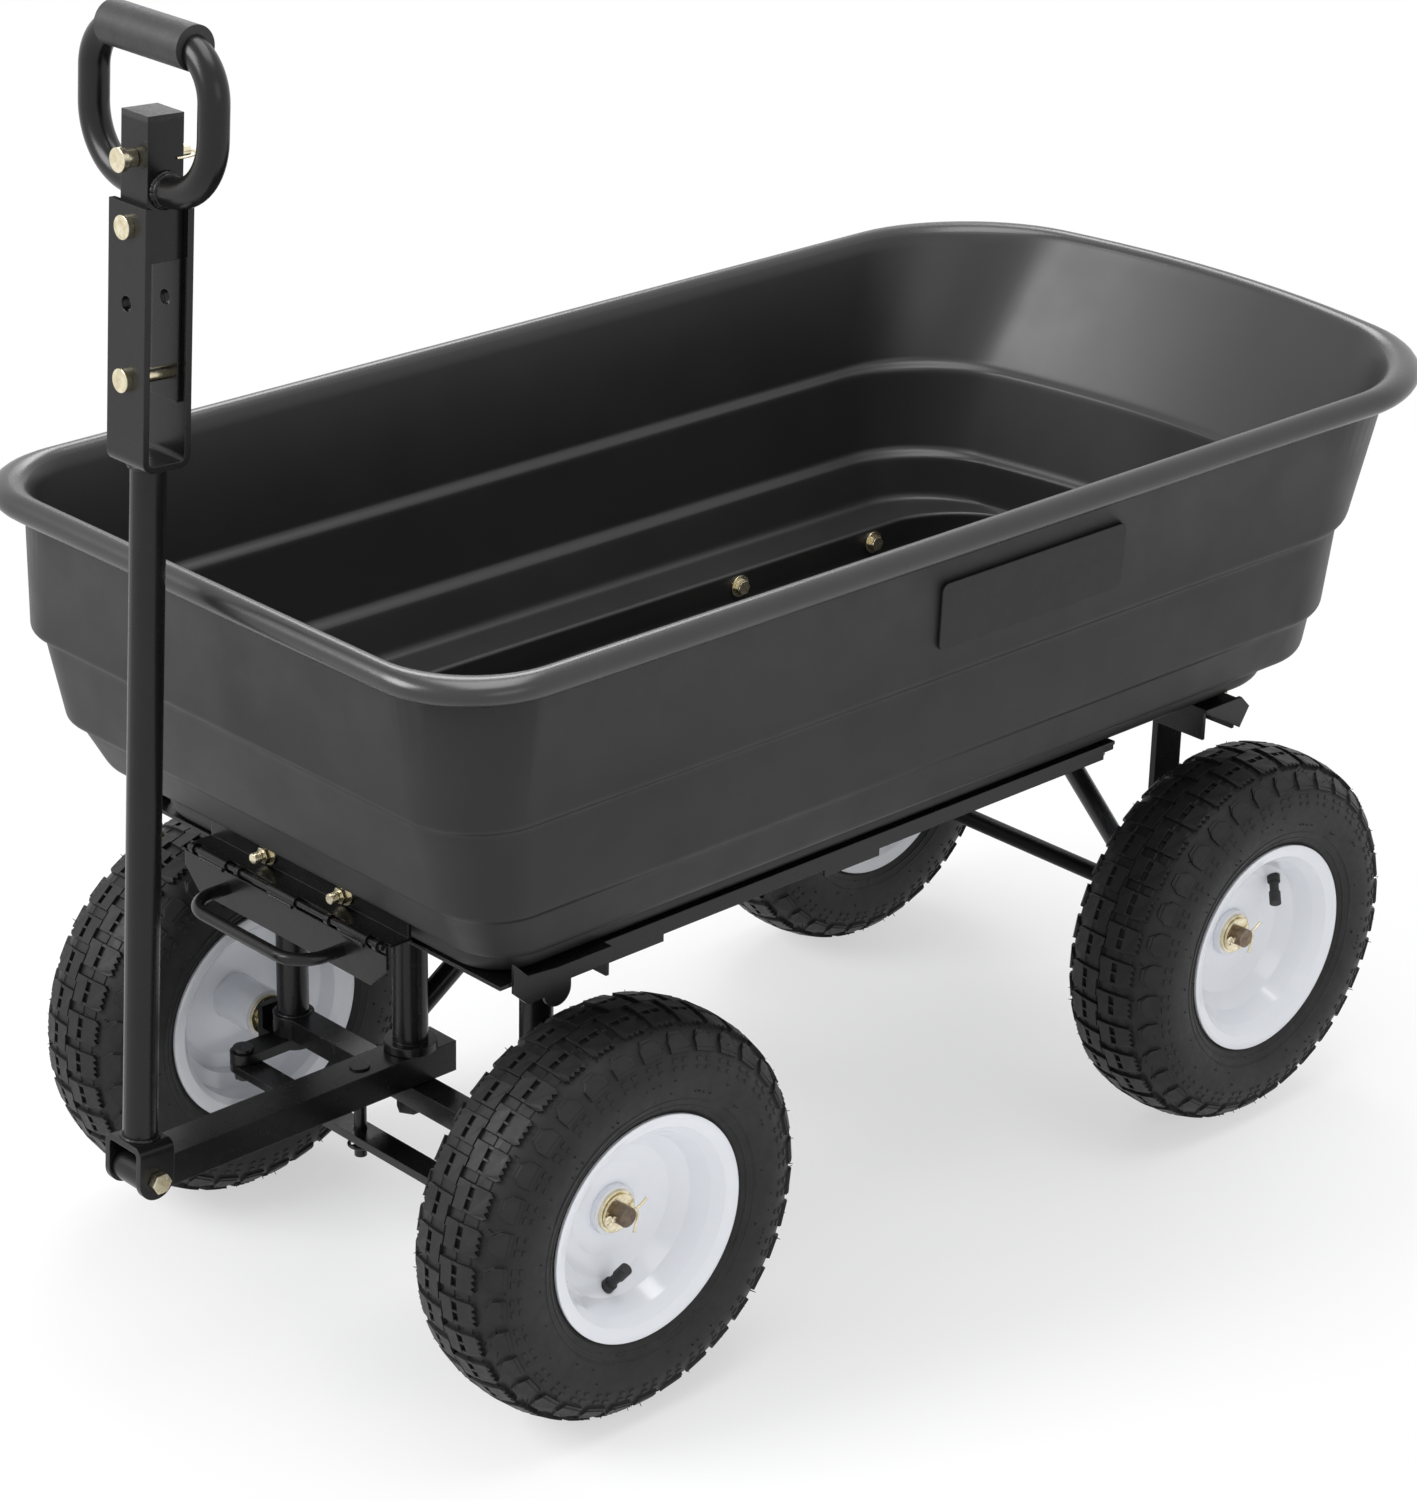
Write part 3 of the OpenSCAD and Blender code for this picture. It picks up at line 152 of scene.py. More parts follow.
def surface(name, dark, light, rough, *, mottle, grain, bump, edge, depth=0.0003, metal=0.0, spec=0.5,
            coat=0.0, wear_and_edge_highlight=None, wave=None, middle_colour=None):
    """A finish: mottled colour and roughness, fine grain, soft edges, a lighter tone on edges for wear and
    painted edge highlights, slow waves in the wall.

    rough is the least and greatest roughness; mottle and grain are noise scales;
    edge, and depth, which is the grain's, are in metres; wave is a scale, a strength and a depth;
    middle_colour is a half width and the tone within it.
    """
    material = bpy.data.materials.new(name)
    material.use_nodes = True
    tree = material.node_tree
    shader = tree.nodes["Principled BSDF"]
    shader.inputs["Metallic"].default_value = metal
    shader.inputs["Specular IOR Level"].default_value = spec
    shader.inputs["Coat Weight"].default_value = coat
    shader.inputs["Coat Roughness"].default_value = COAT_ROUGHNESS
    where = tree.nodes.new("ShaderNodeTexCoord").outputs["Object"]
    ramp = shader_node(tree, "ValToRGB", Fac=noise(tree, where, mottle, MOTTLE_DETAIL))
    for stop, place, tone in zip(ramp.color_ramp.elements, MOTTLE_STOPS, (dark, light)):
        stop.position = place
        stop.color = (*tone, 1)
    colour = ramp.outputs["Color"]
    if middle_colour:
        half_width, tone = middle_colour
        across = shader_node(tree, "SeparateXYZ", Vector=where).outputs["Y"]
        inside = math_node(tree, "LESS_THAN", math_node(tree, "ABSOLUTE", across), half_width)
        colour = mixed(tree, inside, colour, tone)
    patch = noise(tree, where, mottle * PATCH_FINER, PATCH_DETAIL)
    gloss = shader_node(tree, "MapRange", Value=patch, From_Min=PATCH_FROM, From_Max=PATCH_TO,
                        To_Min=rough[0], To_Max=rough[1])
    tree.links.new(gloss.outputs["Result"], shader.inputs["Roughness"])
    normal = None
    if edge:
        rounded = shader_node(tree, "Bevel", Radius=edge)
        rounded.samples = EDGE_SAMPLES
        normal = rounded.outputs["Normal"]
    # a lighter tone in patches on rounded edges: wear, and on the black coat a painted edge highlight
    if edge and wear_and_edge_highlight:
        true_normal = tree.nodes.new("ShaderNodeNewGeometry").outputs["Normal"]
        turn = vector_math(tree, "DOT_PRODUCT", normal, true_normal)
        near = shader_node(tree, "MapRange", Value=turn, From_Min=EDGE_TONE_FROM, From_Max=EDGE_TONE_FULL)
        colour = mixed(tree, math_node(tree, "MULTIPLY", near.outputs["Result"], patch), colour, wear_and_edge_highlight)
    layers = [(noise(tree, where, grain, GRAIN_DETAIL), bump, depth)]
    if wave:
        wave_scale, wave_strength, wave_depth = wave
        layers.insert(0, (noise(tree, where, wave_scale, WAVE_DETAIL), wave_strength, wave_depth))
    for height, strength, distance in layers:
        relief = shader_node(tree, "Bump", Height=height, Strength=strength, Distance=distance)
        if normal:
            tree.links.new(normal, relief.inputs["Normal"])
        normal = relief.outputs["Normal"]
    tree.links.new(colour, shader.inputs["Base Color"])
    tree.links.new(normal, shader.inputs["Normal"])
    return material


# axles and stubs are coated black up to this far from the middle, and bare steel at the wheels
COATED_MIDDLE = (0.215, (0.006, 0.006, 0.006))
MAT = {
    "tub_plastic": surface(
        "tub_outside", (0.0135, 0.0128, 0.0133), (0.0185, 0.0176, 0.0183), (0.42, 0.5),
        mottle=9, grain=900, bump=0.12, edge=0, spec=0.3, wave=(7, 0.06, 0.004)),
    # the tub's inside: the same plastic, glossier, and a little darker in colour as painted shade
    "tub_inside_painted_shade": surface(
        "tub_inside_painted_shade", (0.0125, 0.012, 0.0128), (0.0165, 0.016, 0.0168), (0.36, 0.4),
        mottle=7, grain=700, bump=0.04, edge=0, wave=(6, 0.05, 0.004)),
    # the rolled rim: the tub plastic made glossier, and a little lighter in colour as a painted highlight
    "tub_rim_painted_highlight": surface(
        "tub_rim_painted_highlight", (0.0155, 0.0148, 0.0155), (0.0205, 0.0196, 0.0205), (0.26, 0.29),
        mottle=9, grain=900, bump=0.06, edge=0, spec=0.6),
    "label_plastic": surface(
        "blank_plate", (0.0105, 0.0101, 0.0105), (0.0145, 0.014, 0.0145), (0.42, 0.5),
        mottle=60, grain=2200, bump=0.15, edge=0.0015, spec=0.3),
    # the black coat's lighter edges are a painted edge highlight as well as wear
    "black_coat": surface(
        "black_coat", (0.006, 0.0058, 0.006), (0.0075, 0.0073, 0.0075), (0.25, 0.28),
        mottle=45, grain=1300, bump=0.06, edge=0.0011, spec=0.32, wear_and_edge_highlight=(0.08, 0.078, 0.08)),
    "yellow_zinc": surface(
        "yellow_zinc", (0.66, 0.57, 0.36), (0.88, 0.82, 0.64), (0.16, 0.28),
        mottle=160, grain=2600, bump=0.1, edge=0.0008, metal=1.0, wear_and_edge_highlight=(0.92, 0.89, 0.78)),
    "axle_steel": surface(
        "axle_steel", (0.13, 0.095, 0.07), (0.27, 0.21, 0.15), (0.36, 0.52),
        mottle=140, grain=1700, bump=0.2, edge=0.001, metal=0.9, wear_and_edge_highlight=(0.5, 0.45, 0.38),
        middle_colour=COATED_MIDDLE),
    "coated_stub": surface(
        "coated_stub", (0.10, 0.07, 0.05), (0.20, 0.15, 0.105), (0.32, 0.44),
        mottle=140, grain=1500, bump=0.16, edge=0.001, metal=0.4, middle_colour=COATED_MIDDLE),
    "white_rim": surface(
        "white_enamel", (0.83, 0.85, 0.90), (0.85, 0.87, 0.915), (0.16, 0.21),
        mottle=11, grain=260, bump=0.02, edge=0.0016, coat=0.4),
    "tyre": surface(
        "tyre_rubber", (0.0105, 0.0103, 0.0105), (0.018, 0.0176, 0.018), (0.42, 0.56),
        mottle=55, grain=1500, bump=0.25, depth=0.0004, edge=0.0008, spec=0.26),
    "rubber": surface(
        "moulded_rubber", (0.009, 0.009, 0.009), (0.015, 0.015, 0.015), (0.45, 0.6),
        mottle=120, grain=1900, bump=0.2, edge=0.0012),
    "grip": surface(
        "soft_sleeve", (0.010, 0.010, 0.0105), (0.017, 0.017, 0.018), (0.42, 0.56),
        mottle=90, grain=2600, bump=0.3, depth=0.0004, edge=0.0012, wave=(60, 0.12, 0.0015)),
}
for obj in nodes.values():
    slot = obj.material_slots[0].material.name.split(".")[0]
    obj.material_slots[0].material = MAT[slot]
for knuckle in ("knuckle_left", "knuckle_right"):
    nodes[knuckle].material_slots[0].material = MAT["coated_stub"]


# mesh helpers
CURVE_STEPS = 6
BAR_SMOOTH = 60


def make(name, bm, materials, body=None, smooth_degrees=None):
    """Turns a bmesh into an object that rides on a body."""
    mesh = bpy.data.meshes.new(name)
    bm.normal_update()
    bm.to_mesh(mesh)
    bm.free()
    for material in materials:
        mesh.materials.append(material)
    if smooth_degrees:
        mesh.shade_smooth()
        mesh.set_sharp_from_angle(angle=math.radians(smooth_degrees))
    obj = bpy.data.objects.new(name, mesh)
    scene.collection.objects.link(obj)
    if body:
        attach(obj, body)
    return obj


def make_bar(name, bm, slot, body):
    """A piece made of round bars, with the finish of its slot."""
    make(name, bm, [MAT[slot]], body, BAR_SMOOTH)


def catmull_rom(a, b, c, d, t):
    """A number between b and c at t, on the curve through all four."""
    return b + 0.5 * t * (c - a + t * (2 * a - 5 * b + 4 * c - d + t * (3 * (b - c) + d - a)))


def smooth_line(points):
    """A Catmull-Rom curve through the points."""
    line = []
    for i in range(len(points) - 1):
        span = points[max(i - 1, 0)], points[i], points[i + 1], points[min(i + 2, len(points) - 1)]
        for k in range(CURVE_STEPS):
            line.append(tuple(catmull_rom(*four, k / CURVE_STEPS) for four in zip(*span)))
    line.append(tuple(points[-1]))
    return line


def band(bm, a, b):
    """Quads between two closed rings of vertices."""
    count = len(a)
    return [bm.faces.new((a[k], a[(k + 1) % count], b[(k + 1) % count], b[k])) for k in range(count)]


def tube(bm, points, radius, sides, closed=False):
    """A round bar along points; the radius is a function of the share of the way."""
    points = [Vector(p) for p in points]
    turns = [2 * math.pi * k / sides for k in range(sides)]
    count = len(points)
    rings = []
    side = None
    for i, point in enumerate(points):
        before = points[i - 1] if i or closed else point
        after = points[(i + 1) % count] if i < count - 1 or closed else point
        along = (after - before).normalized()
        side = along.orthogonal() if side is None else side - along * side.dot(along)
        side.normalize()
        up = along.cross(side)
        r = radius(i / (count - 1))
        rings.append([bm.verts.new(point + r * (math.cos(t) * side + math.sin(t) * up)) for t in turns])
    for i in range(count if closed else count - 1):
        band(bm, rings[i], rings[(i + 1) % count])
    if not closed:
        bm.faces.new(list(reversed(rings[0])))
        bm.faces.new(rings[-1])


def circle(centre, first, second, radius, count=28):
    """A line of points once round a centre and back to its start, in the plane of two directions."""
    centre, first, second = Vector(centre), Vector(first), Vector(second)
    turns = [2 * math.pi * k / count for k in range(count + 1)]
    return [centre + radius * (math.cos(t) * first + math.sin(t) * second) for t in turns]


# weld beads: length of a ripple, and shares of the bead's size that are its least and its ripple
RIPPLE = 3.2 * MM
RIPPLE_STEPS = 4
BEAD_LEAST_SHARE, BEAD_RIPPLE_SHARE = 0.82, 0.24
BEAD_SIDES = 10


def weld(name, points, size, body):
    """A rippled weld bead along a line of points."""
    fine = []
    for a, b in zip(points, points[1:]):
        steps = max(2, int((b - a).length / (RIPPLE / RIPPLE_STEPS)))
        fine += [a.lerp(b, k / steps) for k in range(steps)]
    fine.append(points[-1])
    length = sum((b - a).length for a, b in zip(fine, fine[1:]))

    def bead(share):
        ripple = abs(math.sin(math.pi * share * length / RIPPLE))
        return size * (BEAD_LEAST_SHARE + BEAD_RIPPLE_SHARE * ripple)

    bm = bmesh.new()
    tube(bm, fine, bead, BEAD_SIDES)
    make_bar(name, bm, "black_coat", body)


# tub: a rounded shell lofted over the same wall shares as the solid, in millimetres
TUB_LOW, TUB_HIGH = (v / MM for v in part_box("tub"))
WALL, ROLL = 5.0, 10.5
FLOOR_Z = TUB_LOW.z
ROLL_Z = TUB_HIGH.z - ROLL
RISE = ROLL_Z - FLOOR_Z
RIM_FRONT = TUB_HIGH.x - axle_mid_x / MM - ROLL
RIM_REAR = axle_mid_x / MM - TUB_LOW.x - ROLL
RIM_HALF = TUB_HIGH.y - ROLL
REAR_BOW, FRONT_CORNER, REAR_CORNER = 50.0, 80.0, 112.0
# shares of the rear bow and of the corners that are lost on the way down to the floor
BOW_LOSS_SHARE, FRONT_LOSS_SHARE, REAR_LOSS_SHARE = 0.4, 0.55, 0.45
SIDE_INSET, FRONT_INSET, REAR_INSET = 90.0, 110.0, 106.0
# rows of a share of the rise, then shares of the side, front and rear insets
WALL_SHARES = [
    (0, 1, 1, 1), (0.008, 0.945, 0.945, 0.94), (0.03, 0.92, 0.91, 0.91), (0.075, 0.92, 0.885, 0.89),
    (0.099, 0.92, 0.88, 0.885), (0.125, 0.92, 0.872, 0.88), (0.135, 0.5, 0.66, 0.87),
    (0.15, 0.46, 0.62, 0.865), (0.268, 0.36, 0.46, 0.85), (0.28, 0.345, 0.445, 0.845),
    (0.296, 0.267, 0.374, 0.808), (0.562, 0.2, 0.205, 0.645), (0.573, 0.185, 0.19, 0.635),
    (0.586, 0.122, 0.13, 0.594), (0.962, 0.09, 0.073, 0.095)]
# how far a wall corner's rounding reaches, and the most of a span that it takes
CORNER_REACH, REACH_LIMIT_SHARE, CORNER_STEPS = 4.5, 0.45, 4
PLAN_CORNER_STEPS, PLAN_LINE_STEPS = 14, 12
# the rolled rim in degrees, and how many of its bands have the rim's glossier finish, painted a little
# lighter than the tub as a highlight
ROLL_FROM, ROLL_SWEEP, ROLL_STEPS, RIM_BANDS = -125, 290, 18, 17
# the inside wall starts above this share of the rise, over the rounding of the floor
INSIDE_FROM_SHARE = 0.025
TUB_SMOOTH = 50


def eased(shares):
    """Rounds each corner of the wall profile."""
    line = [shares[0]]
    for before, corner, after in zip(shares, shares[1:], shares[2:]):
        ends = []
        for other in (before, after):
            span = math.hypot((other[0] - corner[0]) * RISE, (other[1] - corner[1]) * SIDE_INSET)
            k = min(CORNER_REACH / span, REACH_LIMIT_SHARE)
            ends.append(tuple(c + (o - c) * k for c, o in zip(corner, other)))
        for i in range(CORNER_STEPS + 1):
            t = i / CORNER_STEPS
            line.append(tuple((1 - t) ** 2 * a + 2 * t * (1 - t) * c + t * t * b
                              for a, c, b in zip(ends[0], corner, ends[1])))
    line.append(shares[-1])
    return line


def plan(front, rear, half, front_r, rear_r, bow):
    """The tub's outline seen from above, with round corners and a bowed rear end."""

    def corner(x, y, r, start):
        turns = [math.radians(start + 90 * i / PLAN_CORNER_STEPS) for i in range(PLAN_CORNER_STEPS + 1)]
        return [(x + r * math.cos(t), y + r * math.sin(t)) for t in turns]

    def line(a, b):
        steps = range(1, PLAN_LINE_STEPS)
        return [tuple(p + (q - p) * i / PLAN_LINE_STEPS for p, q in zip(a, b)) for i in steps]

    def bowed(points):
        return [(x - bow * (1 - (y / half) ** 2), y) for x, y in points]

    fx, rx, fy, ry = front - front_r, rear_r - rear, half - front_r, half - rear_r
    left = corner(fx, fy, front_r, 0) + line((fx, half), (rx, half))
    back = corner(rx, ry, rear_r, 90) + line((-rear, ry), (-rear, -ry)) + corner(rx, -ry, rear_r, 180)
    right = line((rx, -half), (fx, -half)) + corner(fx, -fy, front_r, 270)
    return left + bowed(back) + right + line((front, -fy), (front, fy))


def tub_ring(z, side, front, rear, share):
    """The tub's outline at a height, inset from the rim; share is 0 at the rim and 1 at the floor."""
    rear_end = RIM_REAR - REAR_BOW - rear + REAR_BOW * BOW_LOSS_SHARE * share
    front_r = FRONT_CORNER * (1 - FRONT_LOSS_SHARE * share)
    rear_r = REAR_CORNER * (1 - REAR_LOSS_SHARE * share)
    bow = REAR_BOW * (1 - BOW_LOSS_SHARE * share)
    points = plan(RIM_FRONT - front, rear_end, RIM_HALF - side, front_r, rear_r, bow)
    return [at(x, y, z) for x, y in points]


def wall_ring(row, thick=0.0):
    """The wall at one row of shares, moved up and in by a thickness."""
    rise, side, front, rear = row
    return tub_ring(FLOOR_Z + RISE * rise + thick, SIDE_INSET * side + thick, FRONT_INSET * front + thick,
                    REAR_INSET * rear + thick, 1 - rise)


def roll_ring(step):
    """One line of the rolled rim; the steps go from below round the outside, and over the top."""
    a = math.radians(ROLL_FROM + ROLL_SWEEP * step / ROLL_STEPS)
    out = -ROLL * math.cos(a)
    return tub_ring(ROLL_Z + ROLL * math.sin(a), out, out, out, 0)


def build_tub():
    wall = eased(WALL_SHARES)
    outer = [wall_ring(row) for row in wall]
    roll = [roll_ring(i) for i in range(ROLL_STEPS + 1)]
    inner = [wall_ring(row, WALL) for row in reversed(wall) if row[0] >= INSIDE_FROM_SHARE]
    inner.append(wall_ring(WALL_SHARES[0], WALL))
    bm = bmesh.new()
    rings = [[bm.verts.new(p) for p in ring] for ring in outer + roll + inner]
    rim_from, inside_from = len(outer), len(outer) + RIM_BANDS
    for i, (a, b) in enumerate(zip(rings, rings[1:])):
        for face in band(bm, a, b):
            face.material_index = int(i >= rim_from) + int(i >= inside_from)
    bm.faces.new(list(reversed(rings[0])))
    bm.faces.new(rings[-1]).material_index = 2
    finishes = [MAT["tub_plastic"], MAT["tub_rim_painted_highlight"], MAT["tub_inside_painted_shade"]]
    shell = make("tub_shell", bm, finishes, "tub", TUB_SMOOTH)
    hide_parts("tub")


# ribs along the tub floor, in millimetres
RIB_YS = (-158.0, 0.0, 158.0)
RIB_FROM, RIB_TO, RIB_HIGH = -402.0, 332.0, 9.0
# half of the section as (across, up), and an end's run-out as (way in, share of the height)
RIB_HALF = [(21, RIB_HIGH), (25, 7.4), (29, 0.6), (31, -1)]
RIB_RUN_OUT = [(0, 0.02), (4, 0.5), (12, 0.9), (22, 1)]
RIB_END_WIDTH_SHARE = 0.75
RIB_SMOOTH = 40


def rib_row(bm, x, rib_y, full):
    """Vertices of a rib's section, at a share of its full height."""
    wide = RIB_END_WIDTH_SHARE + (1 - RIB_END_WIDTH_SHARE) * full
    row = []
    for y, z in [(-y, z) for y, z in reversed(RIB_HALF)] + RIB_HALF:
        up = z * full if z > 0 else z
        row.append(bm.verts.new(at(x, rib_y + y * wide, FLOOR_Z + WALL + up)))
    return row


def build_floor_ribs():
    """Flat-topped ribs along the tub floor, with rounded shoulders and run-out ends."""
    line = [(RIB_FROM + d, k) for d, k in RIB_RUN_OUT] + [(RIB_TO - d, k) for d, k in reversed(RIB_RUN_OUT)]
    bm = bmesh.new()
    for rib_y in RIB_YS:
        rows = [rib_row(bm, x, rib_y, full) for x, full in line]
        for a, b in zip(rows, rows[1:]):
            for p in range(len(a) - 1):
                bm.faces.new((a[p], b[p], b[p + 1], a[p + 1]))
    bmesh.ops.recalc_face_normals(bm, faces=bm.faces)
    make("tub_floor_ribs", bm, [MAT["tub_inside_painted_shade"]], "tub", RIB_SMOOTH)


build_tub()
build_floor_ribs()

# tyres: carcass, tread blocks, shoulder pads, ridges and moulding whiskers, in millimetres
# half of the carcass from the crown to the bead, as (radius, side position)
CARCASS = [(161.2, 0), (160.7, 12), (158.6, 24), (154.2, 34.5), (147.2, 43), (137.5, 48.8), (126, 51.3),
           (114, 51.1), (103, 48.9), (96, 45.6), (92.6, 43.4), (90.5, 43.2), (86, 42.2), (80, 38.6)]
CARCASS_STEPS = 180
HALF_WALL = smooth_line(CARCASS)
# arc length from the crown to each point of the half wall
ARC = [0.0]
for p, q in zip(HALF_WALL, HALF_WALL[1:]):
    ARC.append(ARC[-1] + math.hypot(q[0] - p[0], q[1] - p[1]))
PITCHES = 34
# each side of the crown, and how far round its tread is shifted, as a share of a pitch
TREAD_SIDES = ((1, 0.0), (-1, 0.5))
# heights over the carcass; the flanks end a little below its surface
TREAD, PAD, MARK, TIE_BAR = 3.7, 2.3, 0.8, 1.0
BRIDGE_DROP, PAD_STEP = 0.4, 0.3
PAD_FOOT = -0.4


def block(from_share, to_share, from_arc, to_arc):
    return [(from_share, from_arc), (to_share, from_arc), (to_share, to_arc), (from_share, to_arc)]


# outlines as (share of a pitch, arc length from the crown)
INNER_LUG = [(0, 1.5), (0.5, 1.5), (0.5, -0.1), (0.72, -0.1), (0.72, 12.0), (0, 12.0)]
OUTER_LUG = [(0, 17.0), (0.72, 17.0), (0.72, 29), (0.63, 32), (0.54, 29), (0.45, 32), (0.36, 29), (0.27, 32),
             (0.18, 29), (0.09, 32), (0, 29)]
BRIDGES = [block(u, v, 11.4, 17.6) for u, v in ((0, 0.08), (0.33, 0.39), (0.64, 0.72))]
TIE_BARS = [block(0.74, 0.98, 3, 13), block(0.74, 0.98, 19, 26)]
SHOULDER_PAD = [(0.16, 53), (0.86, 53), (0.86, 44), (0.68, 37), (0.34, 37), (0.16, 44)]
PAD_MIDDLE, PAD_DRAW_SHARE = 45, 0.35
PAD_TOP = [(u, v - PAD_DRAW_SHARE * (v - PAD_MIDDLE)) for u, v in SHOULDER_PAD]
MARKS = []
for u in (0.2, 0.6):
    MARKS += [block(u, u + 0.2, 57, 60), block(u + 0.02, u + 0.18, 63.5, 66)]
# what stands on each pitch: outlines, height, and how far the flanks spread
RELIEF = [
    ([INNER_LUG, OUTER_LUG], TREAD, 0.4),
    (BRIDGES, TREAD - BRIDGE_DROP, 0.2),
    (TIE_BARS, TIE_BAR, 0.8),
    ([SHOULDER_PAD], PAD, 0.5),
    ([PAD_TOP], PAD + PAD_STEP, 0.2),
    (MARKS, MARK, 0.4)]
# round lines beside the bead: arc length back from it, height, half width
BEAD_LINES = ((21.5, 0.7, 1.1), (27.5, 0.5, 0.8))
BEAD_LINE_FOOT, BEAD_LINE_STEPS = -0.1, 120
# curved ridges on the wall: starts and sweep in radians, arc length from the crown, height of the middle
RIDGE_STARTS, RIDGE_SWEEP, RIDGE_STEPS = (0.4, 2.3, 4.6), 0.9, 40
RIDGE_ARC, RIDGE_HEIGHT, RIDGE_SIDES = 90, 0.1, 6
RIDGE_R, RIDGE_TIP_R, RIDGE_RUN_OUT = 0.7, 0.05, 12
# whiskers: low ones in rows on the wall, long ones scattered over the shoulder
WHISKERS, WHISKER_SEED = 300, 11
LOW_ARCS, LOW_LENGTHS, LOW_R = (74, 84, 97), (0.7, 1.5), 0.95
LONG_ARCS, LONG_LENGTHS, LONG_R = (28, 56), (2.6, 5.4), 0.55
WHISKER_ROOT, WHISKER_TAPER_SHARE, WHISKER_SIDES = -0.2, 0.6, 5
LEAN_TURN, LEAN_ARC = 0.008, 1.2
# each wheel stands turned a little further than the last, in radians
WHEEL_TURN = 0.07


def wall_at(arc, height=0.0):
    """Radius and side position at an arc length from the crown, some height above the carcass."""
    i = 0
    while i < len(ARC) - 2 and ARC[i + 1] < abs(arc):
        i += 1
    a, b = HALF_WALL[i], HALF_WALL[i + 1]
    span = ARC[i + 1] - ARC[i]
    t = (abs(arc) - ARC[i]) / span
    r = a[0] + (b[0] - a[0]) * t + (b[1] - a[1]) / span * height
    y = a[1] + (b[1] - a[1]) * t - (b[0] - a[0]) / span * height
    return r, math.copysign(y, arc)


def on_tyre(turn, arc, height):
    """A point of the tyre, in metres from the middle of its wheel."""
    r, y = wall_at(arc, height)
    return Vector((r * math.cos(turn), y, r * math.sin(turn))) * MM


def raised(bm, outline, high, spread):
    """A pad on the tyre with sloping flanks; its outline is (turn, arc length) pairs."""
    area = sum(a[0] * b[1] - b[0] * a[1] for a, b in zip(outline, outline[1:] + outline[:1]))
    if area > 0:
        outline = outline[::-1]
    turn_mid = sum(p[0] for p in outline) / len(outline)
    arc_mid = sum(p[1] for p in outline) / len(outline)
    radius = wall_at(arc_mid)[0]
    top, foot = [], []
    for turn, arc in outline:
        out = Vector(((turn - turn_mid) * radius, arc - arc_mid)).normalized() * spread
        top.append(bm.verts.new(on_tyre(turn, arc, high)))
        foot.append(bm.verts.new(on_tyre(turn + out.x / radius, arc + out.y, PAD_FOOT)))
    bm.faces.new(top)
    band(bm, foot, top)


def turned(bm, profile, count):
    """Sweeps a (radius, side position) profile round the axle."""
    rings = []
    for k in range(count):
        t = 2 * math.pi * k / count
        rings.append([bm.verts.new((r * MM * math.cos(t), y * MM, r * MM * math.sin(t))) for r, y in profile])
    for k in range(count):
        a, b = rings[k], rings[(k + 1) % count]
        for p in range(len(profile) - 1):
            bm.faces.new((a[p], a[p + 1], b[p + 1], b[p])).smooth = True


def tread_pitch(bm, start, side):
    """One pitch of the tread on one side of the crown."""
    step = 2 * math.pi / PITCHES
    for outlines, high, spread in RELIEF:
        for outline in outlines:
            raised(bm, [(start + u * step, side * v) for u, v in outline], high, spread)


def ridge_radius(share):
    """Full along the middle of a ridge, running out to a thin tip at both ends."""
    full = min(1, RIDGE_RUN_OUT * share, RIDGE_RUN_OUT * (1 - share))
    return RIDGE_R * MM * full + RIDGE_TIP_R * MM


def wall_ridges(bm, side):
    """Raised lines beside the bead and a few curved ridges on one wall."""
    for back, high, wide in BEAD_LINES:
        arc = ARC[-1] - back
        section = ((-wide, BEAD_LINE_FOOT), (-wide / 2, high), (wide / 2, high), (wide, BEAD_LINE_FOOT))
        line = [wall_at(side * (arc + w), h) for w, h in section]
        turned(bm, line if side > 0 else line[::-1], BEAD_LINE_STEPS)
    for start in RIDGE_STARTS:
        turns = [start + RIDGE_SWEEP * i / RIDGE_STEPS for i in range(RIDGE_STEPS + 1)]
        tube(bm, [on_tyre(t, side * RIDGE_ARC, RIDGE_HEIGHT) for t in turns], ridge_radius, RIDGE_SIDES)


def whisker(bm, rng, low):
    """One stub of rubber left by the mould."""
    side = rng.choice((-1, 1))
    turn = rng.uniform(0, 2 * math.pi)
    arc = side * (rng.choice(LOW_ARCS) if low else rng.uniform(*LONG_ARCS))
    length = rng.uniform(*(LOW_LENGTHS if low else LONG_LENGTHS))
    root = on_tyre(turn, arc, WHISKER_ROOT)
    tip_turn = turn + rng.uniform(-LEAN_TURN, LEAN_TURN)
    tip = on_tyre(tip_turn, arc + rng.uniform(-LEAN_ARC, LEAN_ARC), length)
    thick = (LOW_R if low else LONG_R) * MM
    line = [root, root.lerp(tip, 0.5), tip]
    tube(bm, line, lambda s: thick * (1 - WHISKER_TAPER_SHARE * s), WHISKER_SIDES)


def build_tyre_mesh():
    rng = random.Random(WHISKER_SEED)
    bm = bmesh.new()
    turned(bm, [wall_at(-v) for v in reversed(ARC[1:])] + [wall_at(v) for v in ARC], CARCASS_STEPS)
    for k in range(PITCHES):
        for side, shift in TREAD_SIDES:
            tread_pitch(bm, 2 * math.pi * (k + shift) / PITCHES, side)
    for side in (-1, 1):
        wall_ridges(bm, side)
    for k in range(WHISKERS):
        whisker(bm, rng, k % 2 == 0)
    mesh = bpy.data.meshes.new("tyre_tread")
    bm.to_mesh(mesh)
    bm.free()
    mesh.materials.append(MAT["tyre"])
    return mesh


tyre_mesh = build_tyre_mesh()
for number, w in enumerate(WHEELS):
    mesh = tyre_mesh.copy()
    mesh.transform(Matrix.Translation(wheel[w]) @ Matrix.Rotation(WHEEL_TURN * number, 4, "Y"))
    tyre = bpy.data.objects.new("tyre_tread_" + w, mesh)
    scene.collection.objects.link(tyre)
    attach(tyre, "wheel_" + w)
    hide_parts("tyre_" + w)

